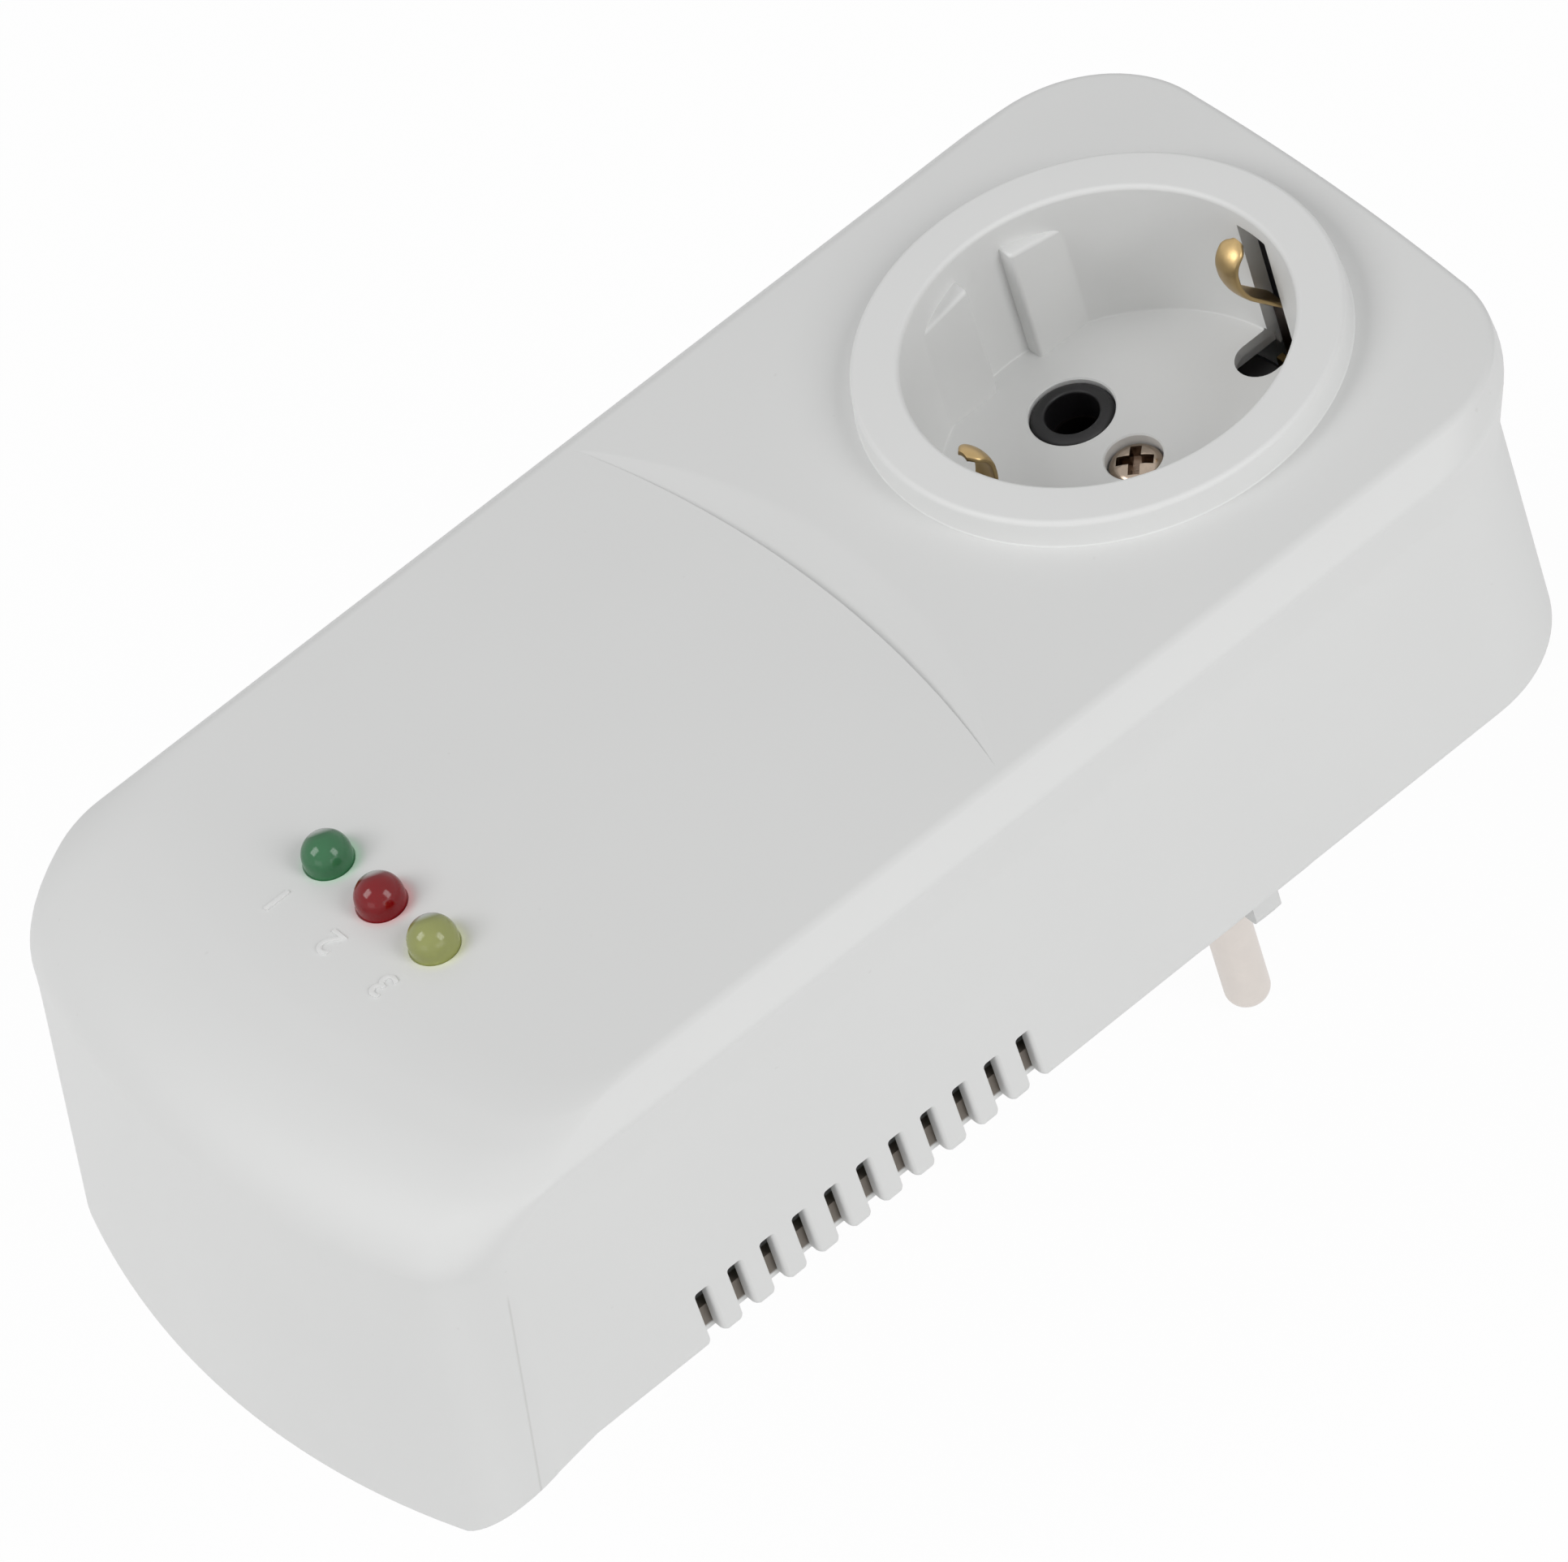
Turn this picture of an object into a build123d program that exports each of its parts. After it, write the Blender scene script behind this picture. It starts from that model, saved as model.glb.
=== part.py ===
from build123d import *
from math import cos, radians, sin, sqrt
import os

# Plug-through voltage protector. Lengths are in millimetres.
# The origin is the centre of the plug's face, between its two pins. The pins point down (-Z),
# the socket opens upwards (+Z) and the indicator lamps are at the -X end.

# Mains plug, the standard 16 A grounded pattern
pin_spacing = 19.0
pin_radius = 2.4
pin_length = 19.0
pin_round = 1.8
pin_shank_radius = 2.3
pin_shoulder_radius = 3.5
pin_shoulder_height = 1.2
boss_radius = 18.5
boss_wall = 2.0
boss_face_thickness = 3.0
boss_edge = 0.8
boss_flat = 16.4
tongue_half_width = 1.65
notch_end = 9.7
holder_height = 7.0
holder_gap = 0.2

# Mains socket, the standard 16 A grounded pattern
socket_x = 10.3
well_radius = 19.5
well_depth = 17.5
well_wall = 1.8
floor_thickness = 3.0
ring_radius = 24.6
ring_height = 3.1
ring_edge = 0.5
insert_gap = 0.1
guide_face = 17.4
guide_inner = 2.75
guide_outer = 9.4
guide_drop = 2.9
guide_outer_drop = 4.2
collar_radius = 4.3
contact_hole_radius = 2.75
earth_slot_half_width = 2.1
earth_slot_drop = 2.3
earth_slot_reach = 1.5
floor_slot_half_width = 2.5
floor_slot_inner = 14.0
screw_recess_radius = 2.95
screw_recess_depth = 1.9
socket_screw_head = 2.8
socket_screw_radius = 1.5
socket_screw_length = 9.0

# Case
case_length = 153.8
top_z = 60.4
case_wall = 2.2
widest_drop = 2.85
waist_drop = 9.2
top_half_width = 33.6
widest_half_width = 36.5
waist_half_width = 35.1
foot_half_width = 36.1
side_edge_z = 24.0
chin_z = 17.7
chin_start_run = 19.7
chin_end_run = 5.9
socket_end_widest = 40.5
socket_end_top = 39.7
socket_end_wall = 37.2
socket_end_bow = 0.6
socket_corner = 14.4
cap_corner = 18.8
top_corner = 13.5
lamp_end_lean = 4.3
lamp_end_blend = 20.9
lamp_end_radius = 93.0
lamp_corner = 8.8
blend_angles = (15.0, 30.0, 60.0, 75.0)

# Panel step across the top
step_radius = 133.0
step_distance = 37.2
step_depth = 0.6
ramp_run = 5.5
ramp_radius = 60.0

# Ventilation slots along both sides
vent_count = 11
vent_pitch = 4.055
vent_run = 34.2
vent_width = 2.2
vent_height = 7.0
vent_corner = 0.5

# Indicator lamps
lamp_run = 33.3
lamp_row_y = 1.5
lamp_pitch = 8.3
lamp_radius = 2.5
lamp_height = 8.6
lamp_stand_out = 3.4
lamp_flange = 2.9
lead_radius = 0.3
lead_pitch = 2.54
lead_stub = 1.0

# Base cover
base_gap = 0.25
base_recess = 0.8
base_thickness = 2.4
base_slope_start_run = 15.3
base_slope_end_run = 7.3
base_drop = 6.6
case_post_radius = 3.8
post_run_socket_end = 9.2
post_run_lamp_end = 20.3
post_inset_socket_end = 10.6
post_inset_lamp_end = 13.1
case_screw_radius = 1.45
case_screw_head = 2.8
case_screw_head_height = 1.6
case_screw_length = 12.0
case_screw_seat = 1.7
thread_gap = 0.05

# Circuit board
board_run = 26.3
board_distance = 25.3
board_inset = 5.1
board_stand_off = 6.8
board_thickness = 1.6
board_corner = 3.0
board_screw_inset = 4.0
board_post_radius = 3.2
board_screw_radius = 1.25
board_screw_head = 2.4
board_screw_head_height = 1.5

# Conductors
strap_thickness = 0.8
strap_half_width = 2.2
out_half_width = 1.8
lane_width = 4.0
lane_distance = 13.2
clip_thickness = 0.5
clip_half_width = 1.7
clip_foot_drop = 4.0
clip_leg_radius = 20.7
clip_bend_rise = 2.4
clip_slope = 33.0
clip_slant = 7.3
clip_bend_radius = 4.0
clip_nose_radius = 3.0
clip_crown_radius = 2.2
clip_crown_turn = 150.0
clip_seat_height = 3.0
block_radius = 18.8
block_height = 10.0
sleeve_outer = 3.25
sleeve_inner = 2.5
sleeve_drop = 1.0
sleeve_slit = 0.7
eye_rim = 0.6
fit_gap = 0.1
touch_gap = 0.05

# Relay
relay_distance = 27.0
relay_y = -14.5
relay_length = 32.0
relay_width = 27.0
relay_height = 20.0
relay_base_thickness = 2.5
relay_wall = 1.2
coil_offset = 4.0
coil_radius = 6.8
core_radius = 3.0
core_rise = 10.0
hub_radius = 4.5
relay_plate = 1.4
armature_gap = 0.6
armature_thickness = 1.3
armature_half_width = 6.0
contact_offset = 8.0
contact_rise = 10.5
button_radius = 1.4

# Other components on the board. A run is measured from its lamp end, a distance from its socket end.
film_distance = 27.0
film_y = 12.0
film_length = 26.0
film_width = 10.0
film_height = 18.0
film_edge = 0.8
can_run = 21.0
can_y = -20.0
can_radius = 5.0
can_height = 16.0
can_edge = 0.6
disc_distance = 19.0
disc_y = 23.0
disc_radius = 7.0
disc_thickness = 4.0
disc_edge = 1.2
disc_rise = 3.0
disc_lead_radius = 0.4
fuse_run = 21.0
fuse_y = 24.0
fuse_rise = 3.0
fuse_length = 18.0
fuse_radius = 2.4
fuse_cap_radius = 2.6
fuse_cap_length = 3.0
fuse_leg_width = 1.2
fuse_leg_thickness = 1.0
chip_run = 17.0
chip_y = 0.0
chip_length = 9.6
chip_width = 6.4
chip_height = 3.4
chip_rise = 0.6
chip_leg_y = 3.3
chip_leg_pitch = 2.4
chip_leg_length = 0.6
chip_leg_width = 0.5
chip_leg_height = 2.2
trimmer_run = 17.0
trimmer_ys = (13.0, -10.0)
trimmer_size = 7.0
trimmer_height = 4.0
trimmer_well_radius = 2.2
trimmer_well_depth = 1.0
rotor_radius = 2.0
rotor_thickness = 1.3
rotor_slot_length = 3.2
rotor_slot_width = 0.6
wire_radius = 0.25
wire_foot_radius = 0.35
wire_run = 1.2
wire_foot_rise = 0.4
inner_resistor_run = 25.5
inner_resistor_ys = (-7.0, 3.0, 13.0)
outer_resistor_run = 2.4
outer_resistor_ys = (-12.0, 0.0, 12.0)
resistor_radius = 1.2
resistor_length = 6.2
resistor_rise = 1.6
diode_runs = (9.0, 13.0, 17.0)
diode_y = 23.0
diode_radius = 1.4
diode_length = 5.0
diode_rise = 1.8
transistor_run = 9.0
transistor_y = -19.0
transistor_radius = 2.4
transistor_flat = 1.4
transistor_height = 4.6
transistor_rise = 2.0
transistor_leg_radius = 0.3

# Places that follow from the sizes above
ring_top = top_z + ring_height
floor_top = ring_top - well_depth
floor_bottom = floor_top - floor_thickness
widest_z = top_z - widest_drop
waist_z = top_z - waist_drop
ceiling = top_z - case_wall
lamp_end_foot = socket_end_widest - case_length
lamp_end_waist = lamp_end_foot + lamp_end_lean
chin_start = lamp_end_foot + chin_start_run
chin_end = lamp_end_foot + chin_end_run
step_apex = socket_x - step_distance
vent_first = lamp_end_foot + vent_run
vent_top = side_edge_z + vent_height
base_bottom = side_edge_z + base_recess
base_top = base_bottom + base_thickness
base_slope_start = lamp_end_foot + base_slope_start_run
base_slope_end = lamp_end_foot + base_slope_end_run
case_post_x = (socket_end_wall - post_run_socket_end, lamp_end_foot + post_run_lamp_end)
case_post_y = (waist_half_width - post_inset_socket_end, waist_half_width - post_inset_lamp_end)
board_left = lamp_end_foot + board_run
board_right = socket_x - board_distance
board_half_width = waist_half_width - board_inset
board_bottom = base_top + board_stand_off
board_top = board_bottom + board_thickness
board_screw_x = (board_right - board_screw_inset, board_left + board_screw_inset)
board_screw_y = board_half_width - board_screw_inset
half_pin = pin_spacing / 2
pin_shoulder = boss_face_thickness + holder_height
strap_foot = pin_shoulder
boss_bore = boss_radius - boss_wall
cup_radius = well_radius + well_wall
block_bottom = floor_bottom - block_height
strap_top = block_bottom - sleeve_drop
strap_bottom = strap_top - strap_thickness
clip_foot = floor_bottom - clip_foot_drop
clip_bend = floor_top + clip_bend_rise
lamp_x = lamp_end_foot + lamp_run
lamp_top = top_z + lamp_stand_out
lamp_bottom = lamp_top - lamp_height
lead_foot = board_bottom - lead_stub
relay_x = board_right - relay_distance
relay_top = board_top + relay_height
core_z = board_top + core_rise


def between(low, high, share):
    return low + (high - low) * share


def case_half_width(z):
    """Half width of the case's outer face at height z."""
    if z <= waist_z:
        return between(foot_half_width, waist_half_width, (z - chin_z) / (waist_z - chin_z))
    if z <= widest_z:
        return between(waist_half_width, widest_half_width, (z - waist_z) / (widest_z - waist_z))
    return between(widest_half_width, top_half_width, (z - widest_z) / (top_z - widest_z))


def case_socket_end(z):
    """Where the case ends at the socket end, at height z."""
    if z <= waist_z:
        return socket_end_wall
    if z <= widest_z:
        return between(socket_end_wall, socket_end_widest, (z - waist_z) / (widest_z - waist_z))
    return between(socket_end_widest, socket_end_top, (z - widest_z) / (top_z - widest_z))


def case_socket_corner(z):
    """Corner radius at the socket end, at height z."""
    if z <= waist_z:
        return socket_corner + case_half_width(z) - waist_half_width
    if z <= widest_z:
        return between(socket_corner, cap_corner, (z - waist_z) / (widest_z - waist_z))
    return between(cap_corner, top_corner, (z - widest_z) / (top_z - widest_z))


def case_lamp_end(z):
    """Where the case ends at the lamp end, at height z: a leaning wall, then a quarter ellipse."""
    if z <= waist_z:
        return between(lamp_end_foot, lamp_end_waist, (z - chin_z) / (waist_z - chin_z))
    rise = (z - waist_z) / (top_z - waist_z)
    return lamp_end_waist + lamp_end_blend * (1 - sqrt(max(0.0, 1 - rise * rise)))


def case_section(z, inset=0.0, height=None):
    """The case's outline at height z, drawn inset from the outer face."""
    half = case_half_width(z) - inset
    end = case_socket_end(z) - inset
    apex = case_lamp_end(z) + inset
    bow = lamp_end_radius - inset
    corner = case_socket_corner(z) - inset
    lamp_round = lamp_corner - inset
    shoulder = end - socket_end_bow
    centre = apex + bow
    round_y = half - lamp_round
    round_x = centre - sqrt((bow - lamp_round) ** 2 - round_y**2)
    away = Vector(round_x - centre, round_y).normalized()
    middle = (away + Vector(0, 1)).normalized()
    with BuildSketch(Plane.XY.offset(z if height is None else height)) as section:
        with BuildLine():
            side = Line((round_x, half), (shoulder - corner, half))
            TangentArc(side @ 1, (shoulder, half - corner), tangent=(1, 0))
            ThreePointArc((shoulder, half - corner), (end, 0), (shoulder, corner - half))
            TangentArc((shoulder, corner - half), (shoulder - corner, -half), tangent=(0, -1))
            Line((shoulder - corner, -half), (round_x, -half))
            near_join = Vector(centre + bow * away.X, -bow * away.Y)
            far_join = Vector(centre + bow * away.X, bow * away.Y)
            near_middle = Vector(round_x + lamp_round * middle.X, -round_y - lamp_round * middle.Y)
            far_middle = Vector(round_x + lamp_round * middle.X, round_y + lamp_round * middle.Y)
            ThreePointArc((round_x, -half), near_middle, near_join)
            ThreePointArc(near_join, (apex, 0), far_join)
            ThreePointArc(far_join, far_middle, (round_x, half))
        make_face()
    return section.sketch


blend_levels = [waist_z + waist_drop * sin(radians(angle)) for angle in blend_angles]
case_levels = sorted([chin_z, waist_z, widest_z, top_z] + blend_levels)

# The shallow ramp that is cut on the socket side of the panel's curved step
slope = step_depth / ramp_run
ramp_centre = step_apex + ramp_run - ramp_radius
with BuildPart() as ramp:
    with BuildSketch(Plane(origin=(ramp_centre, 0, top_z), x_dir=(1, 0, 0), z_dir=(0, -1, 0))) as wedge:
        with BuildLine():
            Polyline(
                (0, 0.5),
                (ramp_radius, 0.5),
                (ramp_radius, 0),
                (0, -slope * ramp_radius),
                close=True,
            )
        make_face()
    revolve(axis=Axis((ramp_centre, 0, 0), (0, 0, 1)))
    with BuildSketch(Plane.XY.offset(top_z - slope * ramp_radius - 1)) as panel:
        with Locations((step_apex - step_radius, 0)):
            Circle(step_radius)
    extrude(amount=slope * ramp_radius + 3, mode=Mode.SUBTRACT)

# What is taken off the guide blocks, so that their tops fall away from the gap
with BuildPart() as guide_slopes:
    with BuildSketch(Plane.XZ.move(Location((socket_x, 0, 0)))) as slopes:
        for side in (1, -1):
            with BuildLine():
                Polyline(
                    (side * guide_inner, ring_top - guide_drop),
                    (side * guide_outer, ring_top - guide_outer_drop),
                    (side * guide_outer, ring_top),
                    (side * guide_inner, ring_top),
                    close=True,
                )
            make_face()
    extrude(amount=well_radius, both=True)
    with BuildSketch(Plane.XY.offset(floor_top)) as slope_limit:
        with Locations((socket_x, 0)):
            Circle(well_radius)
    extrude(amount=well_depth, mode=Mode.INTERSECT)



def earth_wall_slots():
    """The two upright slots in the well's wall, which the earth clips stand in."""
    wall_reach = clip_leg_radius + earth_slot_reach
    wall_start = well_radius - 0.6
    with BuildPart() as slots:
        with BuildSketch(Plane.XY.offset(floor_top)):
            for side in (1, -1):
                with Locations((socket_x + side * between(wall_start, wall_reach, 0.5), 0)):
                    Rectangle(wall_reach - wall_start, 2 * earth_slot_half_width)
        extrude(amount=well_depth - earth_slot_drop)
    return slots.part


wall_slots = earth_wall_slots()

# Top shell: the case and the posts for the case screws, with a round hole for the socket insert
with BuildPart() as top_shell:
    loft([case_section(z).face() for z in case_levels], ruled=True)
    loft(
        [
            case_section(chin_z, case_wall, chin_z - 1).face(),
            case_section(waist_z, case_wall).face(),
            case_section(widest_z - 1, case_wall).face(),
            case_section(widest_z + 1, case_wall + 1.2, ceiling).face(),
        ],
        ruled=True,
        mode=Mode.SUBTRACT,
    )
    # the underside: level along the sides, with a chin that reaches down at the lamp end
    below = chin_z - 5
    beyond = socket_end_widest + 5
    with BuildSketch(Plane.XZ) as under_side:
        with BuildLine():
            level = Line((beyond, side_edge_z), (chin_start, side_edge_z))
            TangentArc(level @ 1, (chin_end, chin_z), tangent=(-1, 0))
            Polyline((chin_end, chin_z), (chin_end, below), (beyond, below), (beyond, side_edge_z))
        make_face()
    extrude(amount=foot_half_width + 5, both=True, mode=Mode.SUBTRACT)
    for x, y in zip(case_post_x, case_post_y):
        with BuildSketch(Plane.XY.offset(base_top)) as posts:
            with Locations((x, y), (x, -y)):
                Circle(case_post_radius)
        extrude(amount=ceiling + 0.5 - base_top)
        with BuildSketch(Plane.XY.offset(base_top)) as post_holes:
            with Locations((x, y), (x, -y)):
                Circle(case_screw_radius + thread_gap)
        extrude(amount=case_screw_length + 2, mode=Mode.SUBTRACT)
    # the hole for the socket insert
    with BuildSketch(Plane.XY.offset(ceiling - 1)) as insert_hole:
        with Locations((socket_x, 0)):
            Circle(cup_radius + insert_gap)
    extrude(amount=case_wall + 2, mode=Mode.SUBTRACT)
    add(wall_slots, mode=Mode.SUBTRACT)
    # lamp holes
    with BuildSketch(Plane.XY.offset(ceiling - 1)) as lamp_holes:
        for place in (1, 0, -1):
            with Locations((lamp_x, lamp_row_y + place * lamp_pitch)):
                Circle(lamp_radius + fit_gap)
    extrude(amount=case_wall + 2, mode=Mode.SUBTRACT)
    # ventilation slots, open at the lower edge
    vent_start = side_edge_z - 2
    with BuildSketch(Plane.XZ) as vents:
        for number in range(vent_count):
            with Locations((vent_first + number * vent_pitch, between(vent_start, vent_top, 0.5))):
                RectangleRounded(vent_width, vent_top - vent_start, vent_corner)
    extrude(amount=foot_half_width + 5, both=True, mode=Mode.SUBTRACT)
    add(ramp.part, mode=Mode.SUBTRACT)
top_shell.part.label = "top_shell"

# Socket insert: the ring, the well and its guide blocks in one moulding
with BuildPart() as socket_insert:
    with BuildSketch(Plane.XY.offset(floor_bottom)) as cup:
        with Locations((socket_x, 0)):
            Circle(cup_radius)
    extrude(amount=top_z - floor_bottom)
    with BuildSketch(Plane.XY.offset(top_z)) as ring:
        with Locations((socket_x, 0)):
            Circle(ring_radius)
    extrude(amount=ring_height)
    fillet(socket_insert.edges().filter_by(GeomType.CIRCLE).group_by(Axis.Z)[-1], ring_edge)
    with BuildSketch(Plane.XY.offset(floor_top)) as well:
        with Locations((socket_x, 0)):
            Circle(well_radius)
    extrude(amount=well_depth + 1, mode=Mode.SUBTRACT)
    with BuildSketch(Plane.XY.offset(floor_top)) as guides:
        with Locations((socket_x, 0)):
            Circle(well_radius + 0.3)
            Rectangle(2 * well_radius + 2, 2 * guide_face, mode=Mode.SUBTRACT)
            Rectangle(2 * guide_inner, 2 * well_radius + 2, mode=Mode.SUBTRACT)
    extrude(amount=well_depth - guide_drop)
    add(guide_slopes.part, mode=Mode.SUBTRACT)
    # holes in the well's floor
    with BuildSketch(Plane.XY.offset(floor_bottom)) as collar_holes:
        with Locations((socket_x, half_pin), (socket_x, -half_pin)):
            Circle(collar_radius + fit_gap)
    extrude(amount=floor_thickness, mode=Mode.SUBTRACT)
    with Locations((socket_x, 0, floor_top)):
        CounterBoreHole(
            radius=socket_screw_radius + fit_gap,
            counter_bore_radius=screw_recess_radius,
            counter_bore_depth=screw_recess_depth,
            depth=floor_thickness,
        )
    # slots in the wall and the floor for the two earth clips
    add(wall_slots, mode=Mode.SUBTRACT)
    slot_start = floor_slot_inner + floor_slot_half_width
    slot_end = clip_leg_radius + earth_slot_reach
    with BuildSketch(Plane.XY.offset(floor_bottom)) as floor_slots:
        for side in (1, -1):
            with Locations((socket_x + side * between(slot_start, slot_end, 0.5), 0)):
                Rectangle(slot_end - slot_start, 2 * floor_slot_half_width)
            with Locations((socket_x + side * slot_start, 0)):
                Circle(floor_slot_half_width)
    extrude(amount=floor_thickness, mode=Mode.SUBTRACT)
socket_insert.part.label = "socket_insert"

earth_groove_foot = 1.2
earth_groove_top = 20.0

# Base cover: a plate inside the case's lower edge, with the plug's hollow boss below it
with BuildPart() as base_cover:
    plate_inset = case_wall + base_gap
    with BuildSketch(Plane.XZ) as plate_profile:
        with BuildLine():
            Polyline(
                (socket_end_widest, base_bottom),
                (base_slope_start, base_bottom),
                (base_slope_end, base_bottom - base_drop),
                (lamp_end_foot, base_bottom - base_drop),
                (lamp_end_foot, base_top - base_drop),
                (base_slope_end, base_top - base_drop),
                (base_slope_start, base_top),
                (socket_end_widest, base_top),
                close=True,
            )
        make_face()
    extrude(amount=foot_half_width, both=True)
    loft(
        [
            case_section(chin_z, plate_inset).face(),
            case_section(base_top + 1, plate_inset).face(),
        ],
        ruled=True,
        mode=Mode.INTERSECT,
    )
    with BuildSketch() as boss:
        Circle(boss_radius)
    extrude(amount=base_top)
    fillet(base_cover.edges().filter_by(GeomType.CIRCLE).group_by(Axis.Z)[0], boss_edge)
    with BuildSketch(Plane.XY.offset(boss_face_thickness)) as boss_inside:
        Circle(boss_bore)
        for side in (1, -1):
            with Locations((0, side * (boss_flat - boss_wall + boss_radius / 2))):
                Rectangle(2 * notch_end + 2 * boss_wall, boss_radius, mode=Mode.SUBTRACT)
    extrude(amount=base_top, mode=Mode.SUBTRACT)
    # flats for a socket's guide blocks, with a tongue left between each pair
    with BuildSketch() as flats:
        for side in (1, -1):
            for end in (1, -1):
                with Locations(
                    (
                        end * between(tongue_half_width, notch_end, 0.5),
                        side * (boss_flat + boss_radius / 2),
                    )
                ):
                    Rectangle(notch_end - tongue_half_width, boss_radius)
    extrude(amount=base_bottom - 4, mode=Mode.SUBTRACT)
    # pin holes, and grooves for the plug's earth contact
    with Locations((0, half_pin, boss_face_thickness), (0, -half_pin, boss_face_thickness)):
        Hole(radius=pin_radius + fit_gap, depth=boss_face_thickness + 1)
    for side in (1, -1):
        with BuildSketch(Plane.XY.offset(earth_groove_foot - fit_gap)) as groove:
            with Locations((side * (boss_radius - strap_thickness + 1 - fit_gap), 0)):
                Rectangle(2, 2 * (strap_half_width + fit_gap))
        extrude(amount=earth_groove_top - earth_groove_foot + 2 * fit_gap, mode=Mode.SUBTRACT)
        with BuildSketch(Plane.XY.offset(earth_groove_top - strap_thickness - fit_gap)) as pass_through:
            with Locations((side * (boss_radius - 1), 0)):
                Rectangle(4, 2 * (strap_half_width + fit_gap))
        extrude(amount=strap_thickness + 2 * fit_gap, mode=Mode.SUBTRACT)
    # posts under the circuit board
    for x in board_screw_x:
        with BuildSketch(Plane.XY.offset(base_top)) as board_posts:
            with Locations((x, board_screw_y), (x, -board_screw_y)):
                Circle(board_post_radius)
        extrude(amount=board_bottom - base_top)
        with BuildSketch(Plane.XY.offset(base_top)) as board_post_holes:
            with Locations((x, board_screw_y), (x, -board_screw_y)):
                Circle(board_screw_radius + thread_gap)
        extrude(amount=board_bottom - base_top, mode=Mode.SUBTRACT)
    # seats for the case screws, sunk into the underside
    for x, y in zip(case_post_x, case_post_y):
        with Locations(Location((x, y, base_bottom), (180, 0, 0)), Location((x, -y, base_bottom), (180, 0, 0))):
            CounterBoreHole(
                radius=case_screw_radius + 0.2,
                counter_bore_radius=case_screw_head + 0.3,
                counter_bore_depth=case_screw_seat,
                depth=base_thickness + 1,
            )
base_cover.part.label = "base_cover"

# Case screws, from below into the posts
with BuildPart() as case_screws:
    seat_z = base_bottom + case_screw_seat
    head_z = seat_z - case_screw_head_height
    for x, y in zip(case_post_x, case_post_y):
        with BuildSketch(Plane.XY.offset(head_z)) as heads:
            with Locations((x, y), (x, -y)):
                Circle(case_screw_head)
        extrude(amount=case_screw_head_height)
        with BuildSketch(Plane.XY.offset(seat_z)) as shanks:
            with Locations((x, y), (x, -y)):
                Circle(case_screw_radius)
        extrude(amount=case_screw_length)
        with BuildSketch(Plane.XY.offset(head_z)) as crosses:
            with Locations((x, y), (x, -y)):
                Rectangle(1.2 * case_screw_head, 0.3 * case_screw_head)
                Rectangle(0.3 * case_screw_head, 1.2 * case_screw_head)
        extrude(amount=0.6 * case_screw_head_height, mode=Mode.SUBTRACT)
case_screws.part.label = "case_screws"

# The socket's black contact block, with a collar round each contact hole
with BuildPart() as contact_block:
    with BuildSketch(Plane.XY.offset(block_bottom)) as block:
        with Locations((socket_x, 0)):
            Circle(block_radius)
    extrude(amount=block_height)
    with BuildSketch(Plane.XY.offset(floor_bottom)) as collars:
        with Locations((socket_x, half_pin), (socket_x, -half_pin)):
            Circle(collar_radius)
    extrude(amount=floor_thickness - fit_gap)
    chamfer(contact_block.edges().filter_by(GeomType.CIRCLE).group_by(Axis.Z)[-1], 0.3)
    with BuildSketch(Plane.XY.offset(block_bottom)) as contact_holes:
        with Locations((socket_x, half_pin), (socket_x, -half_pin)):
            Circle(contact_hole_radius)
    extrude(amount=block_height + floor_thickness, mode=Mode.SUBTRACT)
    with BuildSketch(Plane.XY.offset(block_bottom)) as sleeve_bores:
        with Locations((socket_x, half_pin), (socket_x, -half_pin)):
            Circle(sleeve_outer + fit_gap)
    extrude(amount=block_height - 0.5, mode=Mode.SUBTRACT)
    with BuildSketch(Plane.XY.offset(block_bottom)) as screw_bore:
        with Locations((socket_x, 0)):
            Circle(socket_screw_radius + thread_gap)
    extrude(amount=block_height, mode=Mode.SUBTRACT)
contact_block.part.label = "contact_block"

# Split brass sleeves that grip a plug's pins
with BuildPart() as contact_sleeves:
    with BuildSketch(Plane.XY.offset(strap_top)) as sleeves:
        with Locations((socket_x, half_pin), (socket_x, -half_pin)):
            Circle(sleeve_outer)
            Circle(sleeve_inner, mode=Mode.SUBTRACT)
    extrude(amount=floor_bottom - 0.5 - strap_top)
    with BuildSketch(Plane.XY.offset(strap_top + 3)) as splits:
        with Locations((socket_x, half_pin), (socket_x, -half_pin)):
            Rectangle(2 * sleeve_outer + 1, sleeve_slit)
    extrude(amount=block_height, mode=Mode.SUBTRACT)
contact_sleeves.part.label = "contact_sleeves"

# Cross-head screw in the middle of the well
with BuildPart() as socket_screw:
    seat = floor_top - screw_recess_depth
    head_height = 0.8 * screw_recess_depth
    with BuildSketch(Plane.XY.offset(seat)) as screw_head:
        with Locations((socket_x, 0)):
            Circle(socket_screw_head)
    extrude(amount=head_height)
    fillet(socket_screw.edges().group_by(Axis.Z)[-1], 0.6 * head_height)
    with BuildSketch(Plane.XY.offset(seat)) as screw_shank:
        with Locations((socket_x, 0)):
            Circle(socket_screw_radius)
    extrude(amount=-socket_screw_length)
    with BuildSketch(Plane.XY.offset(seat + head_height)) as screw_cross:
        with Locations((socket_x, 0)):
            Rectangle(1.2 * socket_screw_head, 0.3 * socket_screw_head)
            Rectangle(0.3 * socket_screw_head, 1.2 * socket_screw_head)
    extrude(amount=-0.6 * head_height, mode=Mode.SUBTRACT)
socket_screw.part.label = "socket_screw"

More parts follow.
